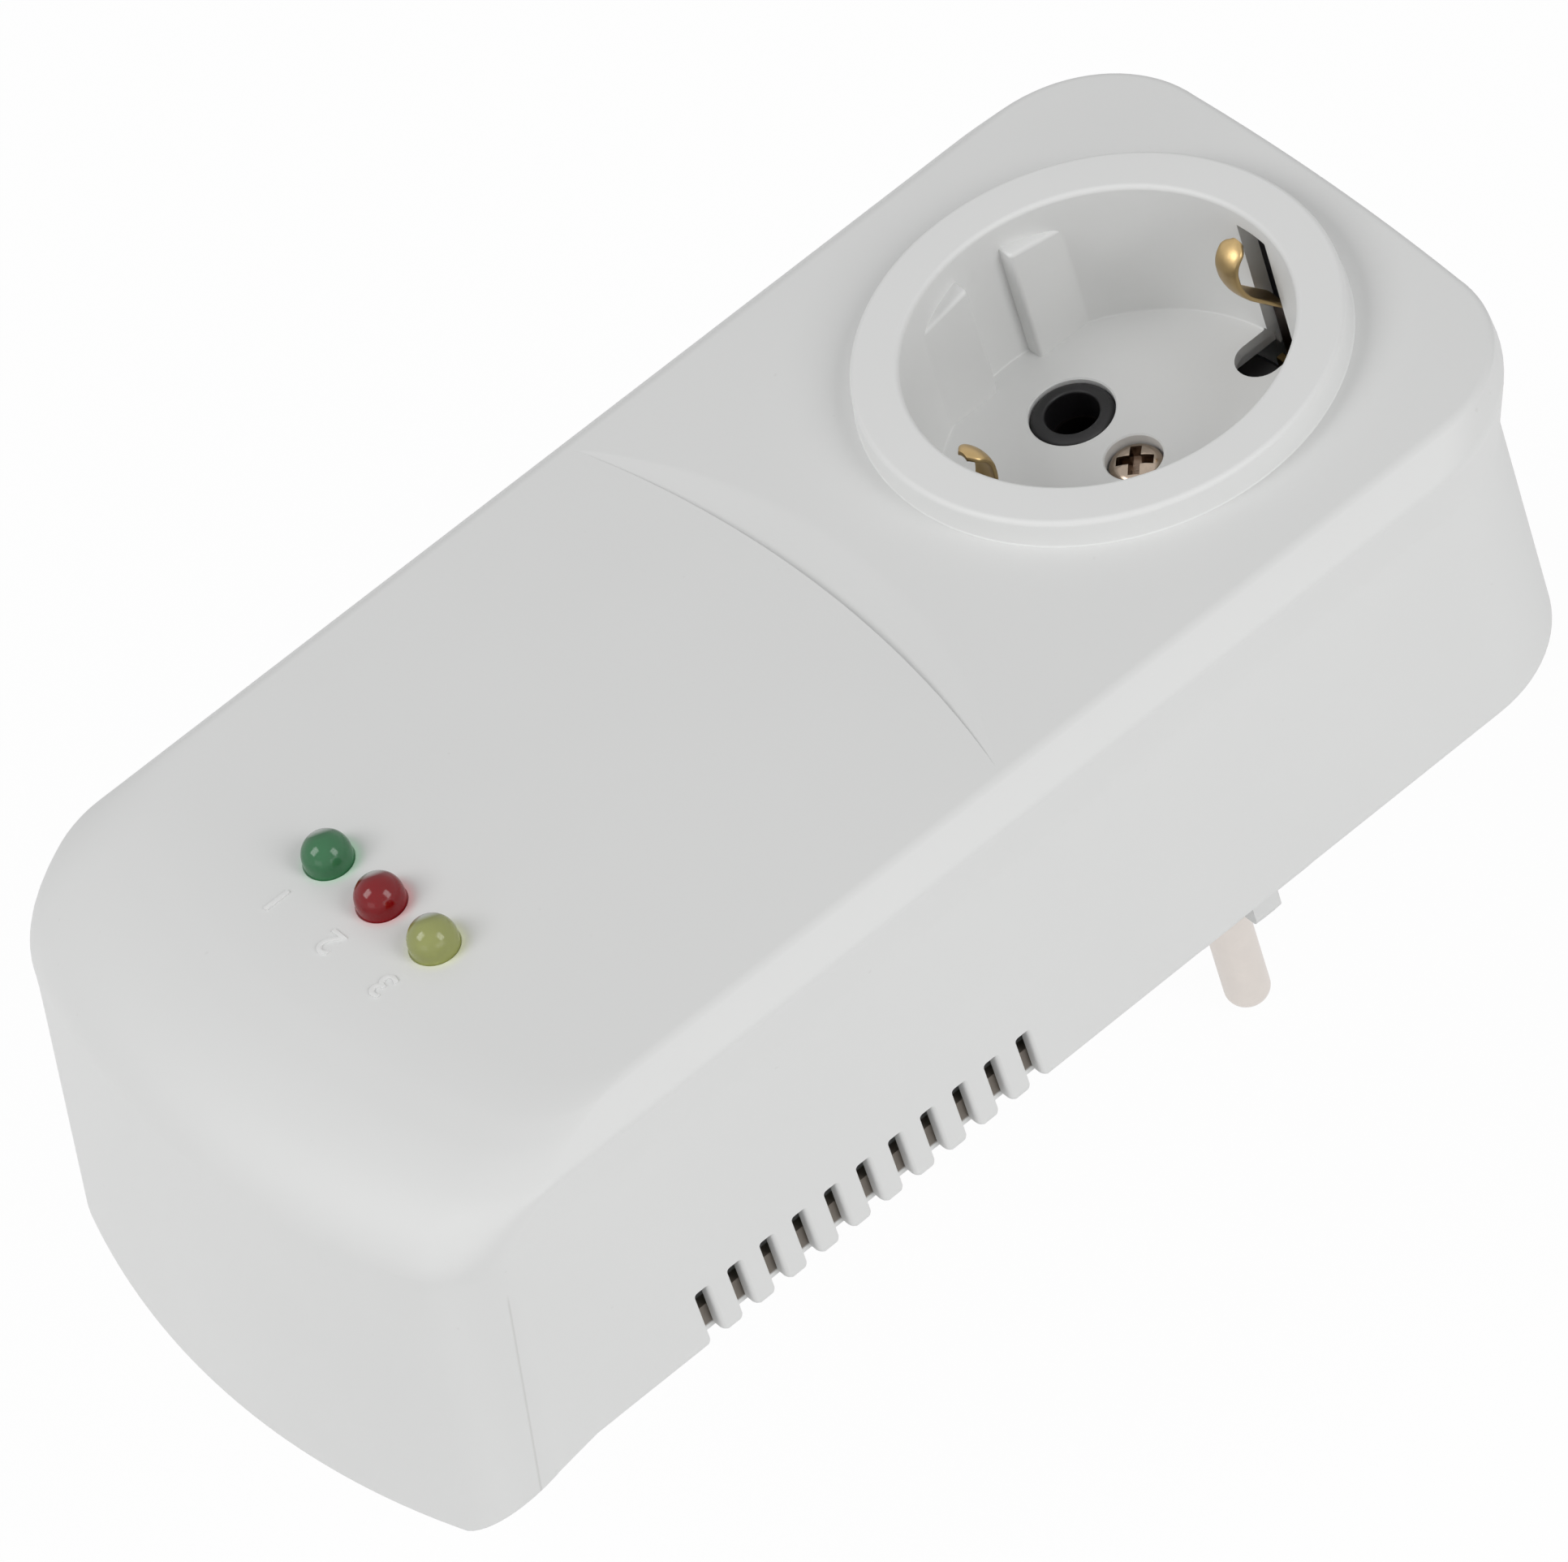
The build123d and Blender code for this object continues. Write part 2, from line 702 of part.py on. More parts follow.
# Plug pins: a shoulder inside the boss keeps each from pulling out, and a thin stem holds its strap
stem_radius = 1.5
stem_height = 2.5
with BuildPart() as plug_pins:
    for side in (1, -1):
        with BuildSketch(Plane.XZ.offset(-side * half_pin)) as pin_profile:
            with BuildLine():
                Polyline(
                    (0, pin_shoulder + stem_height),
                    (stem_radius, pin_shoulder + stem_height),
                    (stem_radius, pin_shoulder),
                    (pin_shank_radius, pin_shoulder),
                    (pin_shank_radius, boss_face_thickness + pin_shoulder_height),
                    (pin_shoulder_radius, boss_face_thickness + pin_shoulder_height),
                    (pin_shoulder_radius, boss_face_thickness),
                    (pin_shank_radius, boss_face_thickness),
                    (pin_shank_radius, 0),
                    (pin_radius, 0),
                    (pin_radius, -pin_length + pin_round),
                )
                tip = pin_radius - pin_round
                TangentArc((pin_radius, -pin_length + pin_round), (tip, -pin_length), tangent=(0, -1))
                Polyline((tip, -pin_length), (0, -pin_length), (0, pin_shoulder + stem_height))
            make_face()
        revolve(axis=Axis((0, side * half_pin, 0), (0, 0, 1)))
plug_pins.part.label = "plug_pins"

# Disc that clamps the pins' shoulders inside the boss
holder_half_width = boss_flat - boss_wall - holder_gap
with BuildPart() as pin_holder:
    with BuildSketch(Plane.XY.offset(boss_face_thickness)) as holder:
        Circle(boss_bore - holder_gap)
        for side in (1, -1):
            with Locations((0, side * (holder_half_width + boss_radius / 2))):
                Rectangle(2 * boss_radius, boss_radius, mode=Mode.SUBTRACT)
    extrude(amount=holder_height)
    with BuildSketch(Plane.XY.offset(boss_face_thickness)) as shoulder_seats:
        with Locations((0, half_pin), (0, -half_pin)):
            Circle(pin_shoulder_radius + fit_gap)
    extrude(amount=pin_shoulder_height + fit_gap, mode=Mode.SUBTRACT)
    with BuildSketch(Plane.XY.offset(boss_face_thickness)) as pin_ways:
        with Locations((0, half_pin), (0, -half_pin)):
            Circle(pin_radius + fit_gap)
    extrude(amount=holder_height, mode=Mode.SUBTRACT)
pin_holder.part.label = "pin_holder"

# Plug's earth contact: a strip in each side of the boss, joined across its inside
with BuildPart() as plug_earth_contact:
    with BuildSketch(Plane.XZ) as earth_bow:
        with BuildLine():
            Polyline(
                (-boss_radius, earth_groove_foot),
                (-boss_radius, earth_groove_top),
                (boss_radius, earth_groove_top),
                (boss_radius, earth_groove_foot),
                (boss_radius - strap_thickness, earth_groove_foot),
                (boss_radius - strap_thickness, earth_groove_top - strap_thickness),
                (strap_thickness - boss_radius, earth_groove_top - strap_thickness),
                (strap_thickness - boss_radius, earth_groove_foot),
                close=True,
            )
        make_face()
    extrude(amount=strap_half_width, both=True)
plug_earth_contact.part.label = "plug_earth_contact"

# Earth strap under the contact block, with a leg to the plug and one to each clip
clip_inner = clip_leg_radius - clip_thickness / 2
leg_radius = clip_inner - touch_gap
seat_top = clip_foot + clip_seat_height
with BuildPart() as earth_strap:
    with BuildSketch(Plane.XZ.move(Location((socket_x, 0, 0)))) as earth_profile:
        with BuildLine():
            Polyline(
                (-leg_radius, strap_bottom),
                (leg_radius, strap_bottom),
                (leg_radius, seat_top),
                (leg_radius - strap_thickness, seat_top),
                (leg_radius - strap_thickness, strap_top),
                (strap_thickness - leg_radius, strap_top),
                (strap_thickness - leg_radius, seat_top),
                (-leg_radius, seat_top),
                close=True,
            )
        make_face()
        with Locations((-socket_x, between(earth_groove_top, strap_bottom, 0.5))):
            Rectangle(strap_thickness, strap_bottom - earth_groove_top)
    extrude(amount=strap_half_width, both=True)
earth_strap.part.label = "earth_strap"


def earth_clip(side):
    """A bowed strip: a leg in the wall slot, then a bulge into the well that hooks back over."""
    with BuildPart() as clip:
        with BuildSketch(Plane.XZ.move(Location((socket_x, 0, 0)))):
            with BuildLine():
                leg = Line((side * clip_leg_radius, clip_foot), (side * clip_leg_radius, clip_bend))
                bend = JernArc(leg @ 1, leg % 1, clip_bend_radius, side * clip_slope)
                slant = Line(bend @ 1, bend @ 1 + (bend % 1) * clip_slant)
                nose = JernArc(slant @ 1, slant % 1, clip_nose_radius, -side * clip_slope)
                JernArc(nose @ 1, nose % 1, clip_crown_radius, -side * clip_crown_turn)
                offset(amount=clip_thickness / 2, side=Side.BOTH)
            make_face()
        extrude(amount=clip_half_width, both=True)
    return clip.part


# Sprung earth clips, one in each end of the well
right_strip = earth_clip(1)
left_strip = earth_clip(-1)

with BuildPart() as earth_clip_right:
    add(right_strip)
earth_clip_right.part.label = "earth_clip_right"

with BuildPart() as earth_clip_left:
    add(left_strip)
earth_clip_left.part.label = "earth_clip_left"

# Brass straps between the pins, the circuit board and the sleeves
board_leg_x = board_right - 5.0
live_out_leg_x = board_right - 8.0
live_lane = -lane_distance
leg_top = board_top + 1.5
eye_radius = sleeve_outer + eye_rim

with BuildPart() as neutral_strap:
    with BuildSketch(Plane.XZ.offset(-half_pin)) as neutral_profile:
        with BuildLine():
            Polyline(
                (3.0, strap_foot),
                (-3.8, strap_foot),
                (-3.8, strap_bottom),
                (board_leg_x - strap_thickness, strap_bottom),
                (board_leg_x - strap_thickness, leg_top),
                (board_leg_x, leg_top),
                (board_leg_x, strap_top),
                (socket_x + sleeve_outer, strap_top),
                (socket_x + sleeve_outer, strap_bottom),
                (strap_thickness - 3.8, strap_bottom),
                (strap_thickness - 3.8, strap_foot + strap_thickness),
                (3.0, strap_foot + strap_thickness),
                close=True,
            )
        make_face()
    extrude(amount=strap_half_width, both=True)
    with BuildSketch(Plane.XY.offset(strap_bottom)) as neutral_eye:
        with Locations((socket_x, half_pin)):
            Circle(eye_radius)
    extrude(amount=strap_thickness)
    with Locations((0, half_pin, strap_foot + strap_thickness)):
        Hole(radius=stem_radius + thread_gap, depth=strap_thickness)
    with Locations((socket_x, half_pin, strap_top)):
        Hole(radius=sleeve_inner, depth=strap_thickness)
neutral_strap.part.label = "neutral_strap"

with BuildPart() as live_out_strap:
    with BuildSketch(Plane.XZ.offset(half_pin)) as live_out_profile:
        with BuildLine():
            Polyline(
                (socket_x + sleeve_outer, strap_bottom),
                (socket_x + sleeve_outer, strap_top),
                (live_out_leg_x, strap_top),
                (live_out_leg_x, leg_top),
                (live_out_leg_x - strap_thickness, leg_top),
                (live_out_leg_x - strap_thickness, strap_bottom),
                close=True,
            )
        make_face()
    extrude(amount=out_half_width, both=True)
    with BuildSketch(Plane.XY.offset(strap_bottom)) as live_eye:
        with Locations((socket_x, -half_pin)):
            Circle(eye_radius)
    extrude(amount=strap_thickness)
    with Locations((socket_x, -half_pin, strap_top)):
        Hole(radius=sleeve_inner, depth=strap_thickness)
live_out_strap.part.label = "live_out_strap"

live_run_z = base_top + 1.0
with BuildPart() as live_in_strap:
    with BuildSketch(Plane.XY.offset(strap_foot)) as live_tab:
        with Locations((0, between(live_lane - strap_thickness, -half_pin + 3, 0.5))):
            Rectangle(5, -half_pin + 3 - live_lane + strap_thickness)
    extrude(amount=strap_thickness)
    with BuildSketch(Plane.XY.offset(strap_foot)) as live_riser:
        with Locations((0, live_lane - strap_thickness / 2)):
            Rectangle(5, strap_thickness)
    extrude(amount=live_run_z + strap_thickness - strap_foot)
    with BuildSketch(Plane.XY.offset(live_run_z)) as live_run:
        with Locations((between(board_leg_x - strap_thickness, 2.5, 0.5), live_lane - lane_width / 2)):
            Rectangle(2.5 - board_leg_x + strap_thickness, lane_width)
    extrude(amount=strap_thickness)
    with BuildSketch(Plane.XY.offset(live_run_z)) as live_board_leg:
        with Locations((board_leg_x - strap_thickness / 2, live_lane - lane_width / 2)):
            Rectangle(strap_thickness, lane_width)
    extrude(amount=leg_top - live_run_z)
    with Locations((0, -half_pin, strap_foot + strap_thickness)):
        Hole(radius=stem_radius + thread_gap, depth=strap_thickness)
live_in_strap.part.label = "live_in_strap"

# Circuit board, with slots for the straps' legs and holes for the lamps' leads
board_length = board_right - board_left
board_x = between(board_left, board_right, 0.5)
lamp_places = [(lamp_x, lamp_row_y + place * lamp_pitch) for place in (1, 0, -1)]
lead_places = [(x + end * lead_pitch / 2, y) for x, y in lamp_places for end in (1, -1)]
with BuildPart() as circuit_board:
    with BuildSketch(Plane.XY.offset(board_bottom)) as board:
        with Locations((board_x, 0)):
            RectangleRounded(board_length, 2 * board_half_width, board_corner)
        with Locations((board_leg_x - strap_thickness / 2, half_pin)):
            Rectangle(strap_thickness + 0.3, 2 * strap_half_width + 0.3, mode=Mode.SUBTRACT)
        with Locations((live_out_leg_x - strap_thickness / 2, -half_pin)):
            Rectangle(strap_thickness + 0.3, 2 * out_half_width + 0.3, mode=Mode.SUBTRACT)
        with Locations((board_leg_x - strap_thickness / 2, live_lane - lane_width / 2)):
            Rectangle(strap_thickness + 0.3, lane_width + 0.3, mode=Mode.SUBTRACT)
        for x in board_screw_x:
            with Locations((x, board_screw_y), (x, -board_screw_y)):
                Circle(board_screw_radius + 0.25, mode=Mode.SUBTRACT)
        with Locations(*lead_places):
            Circle(lead_radius + 0.1, mode=Mode.SUBTRACT)
    extrude(amount=board_thickness)
circuit_board.part.label = "circuit_board"

with BuildPart() as board_screws:
    for x in board_screw_x:
        with BuildSketch(Plane.XY.offset(board_top)) as board_heads:
            with Locations((x, board_screw_y), (x, -board_screw_y)):
                Circle(board_screw_head)
        extrude(amount=board_screw_head_height)
        with BuildSketch(Plane.XY.offset(board_top)) as board_shanks:
            with Locations((x, board_screw_y), (x, -board_screw_y)):
                Circle(board_screw_radius)
        extrude(amount=base_top + 1 - board_top)
        with BuildSketch(Plane.XY.offset(board_top + board_screw_head_height)) as board_crosses:
            with Locations((x, board_screw_y), (x, -board_screw_y)):
                Rectangle(1.2 * board_screw_head, 0.3 * board_screw_head)
                Rectangle(0.3 * board_screw_head, 1.2 * board_screw_head)
        extrude(amount=-0.6 * board_screw_head_height, mode=Mode.SUBTRACT)
board_screws.part.label = "board_screws"


def lamp(x, y):
    """A 5 mm lamp body: flange, barrel and dome in one piece of clear resin."""
    with BuildPart() as body:
        with BuildSketch(Plane(origin=(x, y, 0), x_dir=(1, 0, 0), z_dir=(0, -1, 0))) as profile:
            with BuildLine():
                Polyline(
                    (0, lamp_bottom),
                    (lamp_flange, lamp_bottom),
                    (lamp_flange, lamp_bottom + 1),
                    (lamp_radius, lamp_bottom + 1),
                    (lamp_radius, lamp_top - lamp_radius),
                )
                TangentArc((lamp_radius, lamp_top - lamp_radius), (0, lamp_top), tangent=(0, 1))
                Line((0, lamp_top), (0, lamp_bottom))
            make_face()
        revolve(axis=Axis((x, y, 0), (0, 0, 1)))
    return body.part


lamp_bodies = [lamp(x, y) for x, y in lamp_places]

with BuildPart() as lamp_green:
    add(lamp_bodies[0])
lamp_green.part.label = "lamp_green"

with BuildPart() as lamp_red:
    add(lamp_bodies[1])
lamp_red.part.label = "lamp_red"

with BuildPart() as lamp_yellow:
    add(lamp_bodies[2])
lamp_yellow.part.label = "lamp_yellow"

with BuildPart() as lamp_leads:
    with BuildSketch(Plane.XY.offset(lead_foot)) as leads:
        with Locations(*lead_places):
            Circle(lead_radius)
    extrude(amount=lamp_bottom - lead_foot)
lamp_leads.part.label = "lamp_leads"

# Relay: its coil, iron and contacts stand on a base under a dust cover
with BuildPart() as relay_base:
    with BuildSketch(Plane.XY.offset(board_top)) as relay_foot:
        with Locations((relay_x, relay_y)):
            RectangleRounded(relay_length, relay_width, 1)
    extrude(amount=relay_base_thickness)
relay_base.part.label = "relay_base"

cover_foot = board_top + relay_base_thickness
with BuildPart() as relay_cover:
    with BuildSketch(Plane.XY.offset(cover_foot)) as cover_outside:
        with Locations((relay_x, relay_y)):
            RectangleRounded(relay_length, relay_width, 1)
    extrude(amount=relay_top - cover_foot)
    fillet(relay_cover.edges().group_by(Axis.Z)[-1], 0.8)
    with BuildSketch(Plane.XY.offset(cover_foot)) as cover_inside:
        with Locations((relay_x, relay_y)):
            Rectangle(relay_length - 2 * relay_wall, relay_width - 2 * relay_wall)
    extrude(amount=relay_top - cover_foot - relay_wall, mode=Mode.SUBTRACT)
relay_cover.part.label = "relay_cover"

coil_y = relay_y - coil_offset
coil_left = relay_x - 11.0
coil_right = relay_x + 6.0
pole_x = relay_x + 7.0
armature_left = pole_x + armature_gap
yoke_left = coil_left - relay_plate - 1.0
coil_plane = Plane(origin=(coil_left, coil_y, core_z), x_dir=(0, 1, 0), z_dir=(1, 0, 0))
coil_length = coil_right - coil_left

with BuildPart() as coil_bobbin:
    with BuildSketch(coil_plane) as hub:
        Circle(hub_radius)
    extrude(amount=coil_length)
    for start in (0, coil_length - 1):
        with BuildSketch(coil_plane.offset(start)) as flange:
            Rectangle(2 * coil_radius + 0.4, 2 * coil_radius + 0.4)
        extrude(amount=1)
    with BuildSketch(coil_plane) as core_way:
        Circle(core_radius + 0.05)
    extrude(amount=coil_length, mode=Mode.SUBTRACT)
coil_bobbin.part.label = "coil_bobbin"

with BuildPart() as coil_winding:
    with BuildSketch(coil_plane.offset(1)) as winding:
        Circle(coil_radius)
        Circle(hub_radius, mode=Mode.SUBTRACT)
    extrude(amount=coil_length - 2)
coil_winding.part.label = "coil_winding"

with BuildPart() as coil_core:
    with BuildSketch(coil_plane.offset(-1)) as core:
        Circle(core_radius)
    extrude(amount=pole_x - coil_left + 1)
coil_core.part.label = "coil_core"

yoke_top = core_z + coil_radius + 2.0
with BuildPart() as relay_yoke:
    with BuildSketch(Plane.XZ.offset(-coil_y)) as yoke_profile:
        with BuildLine():
            Polyline(
                (yoke_left, cover_foot),
                (yoke_left + relay_plate, cover_foot),
                (yoke_left + relay_plate, yoke_top - relay_plate),
                (pole_x + 0.3, yoke_top - relay_plate),
                (pole_x + 0.3, yoke_top),
                (yoke_left, yoke_top),
                close=True,
            )
        make_face()
    extrude(amount=armature_half_width, both=True)
relay_yoke.part.label = "relay_yoke"

armature_foot = cover_foot + 1.0
armature_x = armature_left + armature_thickness / 2
pivot_z = yoke_top - 0.2 - armature_thickness / 2
with BuildPart() as armature:
    with BuildSketch(Plane.XZ.offset(-coil_y)) as armature_profile:
        with Locations((armature_x, between(armature_foot, pivot_z, 0.5))):
            Rectangle(armature_thickness, pivot_z - armature_foot)
        with Locations((armature_x, pivot_z)):
            Circle(armature_thickness / 2)
    extrude(amount=armature_half_width, both=True)
armature.part.label = "armature"

contact_y = relay_y + contact_offset
contact_z = board_top + contact_rise
contact_plane = Plane(origin=(armature_left + armature_thickness, contact_y, contact_z), x_dir=(0, 1, 0), z_dir=(1, 0, 0))
with BuildPart() as contact_spring:
    with BuildSketch(contact_plane) as blade:
        with Locations((between(coil_y - 3, contact_y + 2, 0.5) - contact_y, 0)):
            Rectangle(contact_y + 5 - coil_y, 3.4)
    extrude(amount=0.4)
    with BuildSketch(contact_plane.offset(-0.4)) as moving_button:
        Circle(button_radius)
    extrude(amount=1.2)
contact_spring.part.label = "contact_spring"

with BuildPart() as fixed_contacts:
    for face, reach in ((-0.8, -1.2), (0.85, 1.2)):
        with BuildSketch(contact_plane.offset(face)) as fixed_button:
            Circle(button_radius)
        extrude(amount=reach)
        start = face + reach if reach > 0 else face + reach - 0.6
        with BuildSketch(contact_plane.offset(start)) as post:
            with Locations((0, between(cover_foot, contact_z + 2, 0.5) - contact_z)):
                Rectangle(4, contact_z + 2 - cover_foot)
        extrude(amount=0.6)
fixed_contacts.part.label = "fixed_contacts"

# Other components on the board
film_x = board_right - film_distance
with BuildPart() as film_capacitor:
    with BuildSketch(Plane.XY.offset(board_top)) as film_foot:
        with Locations((film_x, film_y)):
            Rectangle(film_length, film_width)
    extrude(amount=film_height)
    fillet(film_capacitor.edges().filter_by(Axis.Z), film_edge)
film_capacitor.part.label = "film_capacitor"

with BuildPart() as smoothing_capacitor:
    with BuildSketch(Plane.XY.offset(board_top)) as can_foot:
        with Locations((board_left + can_run, can_y)):
            Circle(can_radius)
    extrude(amount=can_height)
    fillet(smoothing_capacitor.edges().group_by(Axis.Z)[-1], can_edge)
smoothing_capacitor.part.label = "smoothing_capacitor"

disc_x = board_right - disc_distance
disc_z = board_top + disc_radius + disc_rise
with BuildPart() as varistor:
    with BuildSketch(Plane.XZ.offset(-disc_y)) as disc:
        with Locations((disc_x, disc_z)):
            Circle(disc_radius)
    extrude(amount=-disc_thickness)
    fillet(varistor.edges(), disc_edge)
    with BuildSketch(Plane.XY.offset(board_top)) as varistor_leads:
        lead_y = disc_y + disc_thickness / 2
        with Locations((disc_x - disc_radius / 2, lead_y), (disc_x + disc_radius / 2, lead_y)):
            Circle(disc_lead_radius)
    extrude(amount=disc_z - disc_radius / 2 - board_top - disc_edge / 4)
varistor.part.label = "varistor"

fuse_plane = Plane(
    origin=(board_left + fuse_run, fuse_y, board_top + fuse_rise),
    x_dir=(0, 1, 0),
    z_dir=(1, 0, 0),
)
with BuildPart() as fuse_tube:
    with BuildSketch(fuse_plane.offset(fuse_cap_length)) as tube:
        Circle(fuse_radius)
    extrude(amount=fuse_length - 2 * fuse_cap_length)
fuse_tube.part.label = "fuse_tube"

with BuildPart() as fuse_caps:
    for start in (0, fuse_length - fuse_cap_length):
        with BuildSketch(fuse_plane.offset(start)) as cap:
            Circle(fuse_cap_radius)
        extrude(amount=fuse_cap_length)
        leg_start = start + (fuse_cap_length - fuse_leg_thickness) / 2
        with BuildSketch(fuse_plane.offset(leg_start)) as cap_leg:
            with Locations((0, -fuse_rise / 2)):
                Rectangle(fuse_leg_width, fuse_rise)
        extrude(amount=fuse_leg_thickness)
fuse_caps.part.label = "fuse_caps"

chip_x = board_left + chip_run
with BuildPart() as control_chip:
    with BuildSketch(Plane.XY.offset(board_top + chip_rise)) as chip_body:
        with Locations((chip_x, chip_y)):
            Rectangle(chip_length, chip_width)
    extrude(amount=chip_height)
    with BuildSketch(Plane.XY.offset(board_top)) as chip_legs:
        for row in (1, -1):
            with Locations((chip_x, chip_y + row * chip_leg_y)):
                with GridLocations(chip_leg_pitch, chip_leg_pitch, 4, 1):
                    Rectangle(chip_leg_length, chip_leg_width)
    extrude(amount=chip_leg_height)
control_chip.part.label = "control_chip"

trimmer_places = [(board_left + trimmer_run, y) for y in trimmer_ys]
trimmer_top = board_top + trimmer_height
with BuildPart() as trimmers:
    with BuildSketch(Plane.XY.offset(board_top)) as trimmer_bodies:
        with Locations(*trimmer_places):
            Rectangle(trimmer_size, trimmer_size)
    extrude(amount=trimmer_height)
    with BuildSketch(Plane.XY.offset(trimmer_top)) as trimmer_wells:
        with Locations(*trimmer_places):
            Circle(trimmer_well_radius)
    extrude(amount=-trimmer_well_depth, mode=Mode.SUBTRACT)
trimmers.part.label = "trimmers"

rotor_foot = trimmer_top - trimmer_well_depth
with BuildPart() as trimmer_rotors:
    with BuildSketch(Plane.XY.offset(rotor_foot)) as rotors:
        with Locations(*trimmer_places):
            Circle(rotor_radius)
    extrude(amount=rotor_thickness)
    with BuildSketch(Plane.XY.offset(rotor_foot + rotor_thickness)) as rotor_slots:
        with Locations(*trimmer_places):
            Rectangle(rotor_slot_length, rotor_slot_width)
    extrude(amount=-rotor_slot_width, mode=Mode.SUBTRACT)
trimmer_rotors.part.label = "trimmer_rotors"


def axial_parts(places, radius, length, rise):
    """Small parts that lie along Y, each on two bent leads."""
    with BuildPart() as group:
        for x, y in places:
            body = Plane(origin=(x, y - length / 2, board_top + rise), x_dir=(1, 0, 0), z_dir=(0, 1, 0))
            with BuildSketch(body) as barrel:
                Circle(radius)
            extrude(amount=length)
            with BuildSketch(body.offset(-wire_run)) as wire:
                Circle(wire_radius)
            extrude(amount=length + 2 * wire_run)
            reach = length / 2 + wire_run
            with BuildSketch(Plane.XY.offset(board_top)) as feet:
                with Locations((x, y - reach), (x, y + reach)):
                    Circle(wire_foot_radius)
            extrude(amount=rise + wire_foot_rise)
    return group.part


resistor_places = [(board_left + inner_resistor_run, y) for y in inner_resistor_ys]
resistor_places += [(board_left + outer_resistor_run, y) for y in outer_resistor_ys]
diode_places = [(board_left + run, diode_y) for run in diode_runs]
resistor_group = axial_parts(resistor_places, resistor_radius, resistor_length, resistor_rise)
diode_group = axial_parts(diode_places, diode_radius, diode_length, diode_rise)

with BuildPart() as resistors:
    add(resistor_group)
resistors.part.label = "resistors"

with BuildPart() as diodes:
    add(diode_group)
diodes.part.label = "diodes"

with BuildPart() as transistor:
    with BuildSketch(Plane.XY.offset(board_top + transistor_rise)) as transistor_body:
        with Locations((board_left + transistor_run, transistor_y)):
            Circle(transistor_radius)
            with Locations((0, transistor_flat + transistor_radius / 2)):
                Rectangle(2.5 * transistor_radius, transistor_radius, mode=Mode.SUBTRACT)
    extrude(amount=transistor_height)
    with BuildSketch(Plane.XY.offset(board_top)) as transistor_legs:
        with Locations((board_left + transistor_run, transistor_y)):
            with GridLocations(lead_pitch / 2, lead_pitch, 3, 1):
                Circle(transistor_leg_radius)
    extrude(amount=transistor_rise + transistor_leg_radius)
transistor.part.label = "transistor"

pieces = [
    top_shell,
    socket_insert,
    base_cover,
    case_screws,
    contact_block,
    contact_sleeves,
    socket_screw,
    plug_pins,
    pin_holder,
    plug_earth_contact,
    earth_strap,
    earth_clip_right,
    earth_clip_left,
    neutral_strap,
    live_out_strap,
    live_in_strap,
    circuit_board,
    board_screws,
    lamp_green,
    lamp_red,
    lamp_yellow,
    lamp_leads,
    relay_base,
    relay_cover,
    coil_bobbin,
    coil_winding,
    coil_core,
    relay_yoke,
    armature,
    contact_spring,
    fixed_contacts,
    film_capacitor,
    smoothing_capacitor,
    varistor,
    fuse_tube,
    fuse_caps,
    control_chip,
    trimmers,
    trimmer_rotors,
    resistors,
    diodes,
    transistor,
]

os.makedirs("parts", exist_ok=True)
for piece in pieces:
    export_step(piece.part, f"parts/{piece.part.label}.step")
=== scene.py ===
import math

import bmesh
import bpy
from mathutils import Matrix, Vector


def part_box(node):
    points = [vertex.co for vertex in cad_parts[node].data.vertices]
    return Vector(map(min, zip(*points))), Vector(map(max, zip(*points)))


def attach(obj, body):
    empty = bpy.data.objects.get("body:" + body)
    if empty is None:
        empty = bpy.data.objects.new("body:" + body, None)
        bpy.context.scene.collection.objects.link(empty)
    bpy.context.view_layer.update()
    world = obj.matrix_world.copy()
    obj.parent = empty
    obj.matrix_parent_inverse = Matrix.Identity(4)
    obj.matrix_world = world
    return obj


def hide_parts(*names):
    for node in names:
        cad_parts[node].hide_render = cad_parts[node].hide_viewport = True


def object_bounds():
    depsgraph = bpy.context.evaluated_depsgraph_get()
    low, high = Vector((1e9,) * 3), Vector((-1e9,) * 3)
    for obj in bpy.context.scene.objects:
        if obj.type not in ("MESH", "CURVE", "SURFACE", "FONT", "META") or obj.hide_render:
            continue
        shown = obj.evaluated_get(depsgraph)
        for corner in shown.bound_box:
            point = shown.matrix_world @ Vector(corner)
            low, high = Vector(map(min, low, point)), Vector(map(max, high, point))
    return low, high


bl_info = {
    "name": "Plug-through Voltage Protector",
    "version": (1, 0, 0),
    "blender": (4, 5, 0),
    "location": "3D View > Sidebar > Protector",
    "description": "Dresses the packed voltage protector with its mouldings, metal pieces and finishes",
    "category": "Object",
}

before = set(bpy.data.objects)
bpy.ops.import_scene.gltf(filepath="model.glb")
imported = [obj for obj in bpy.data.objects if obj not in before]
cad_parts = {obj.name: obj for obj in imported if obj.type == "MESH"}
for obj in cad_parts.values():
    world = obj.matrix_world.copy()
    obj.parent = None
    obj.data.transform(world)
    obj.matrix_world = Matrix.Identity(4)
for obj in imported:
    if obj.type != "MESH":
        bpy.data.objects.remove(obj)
CAD_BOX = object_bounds()
MM = 0.001


def in_mm(box):
    """A box's two corners, in millimetres."""
    return [corner / MM for corner in box]


def middle_of(box):
    """The middle (x, y) of a box, in millimetres."""
    low, high = in_mm(box)
    return (low.x + high.x) / 2, (low.y + high.y) / 2


SHELL_LOW, SHELL_HIGH = in_mm(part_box("top_shell"))
LAMP_NODES = ("lamp_green", "lamp_red", "lamp_yellow")
# Where the mould's parting line runs down the near corner at the lamp end, in millimetres
SEAM_TOP_X, SEAM_TOP_Z = -97.8, 47.6
SEAM_FOOT_X, SEAM_FOOT_Z = -101.8, 22.9
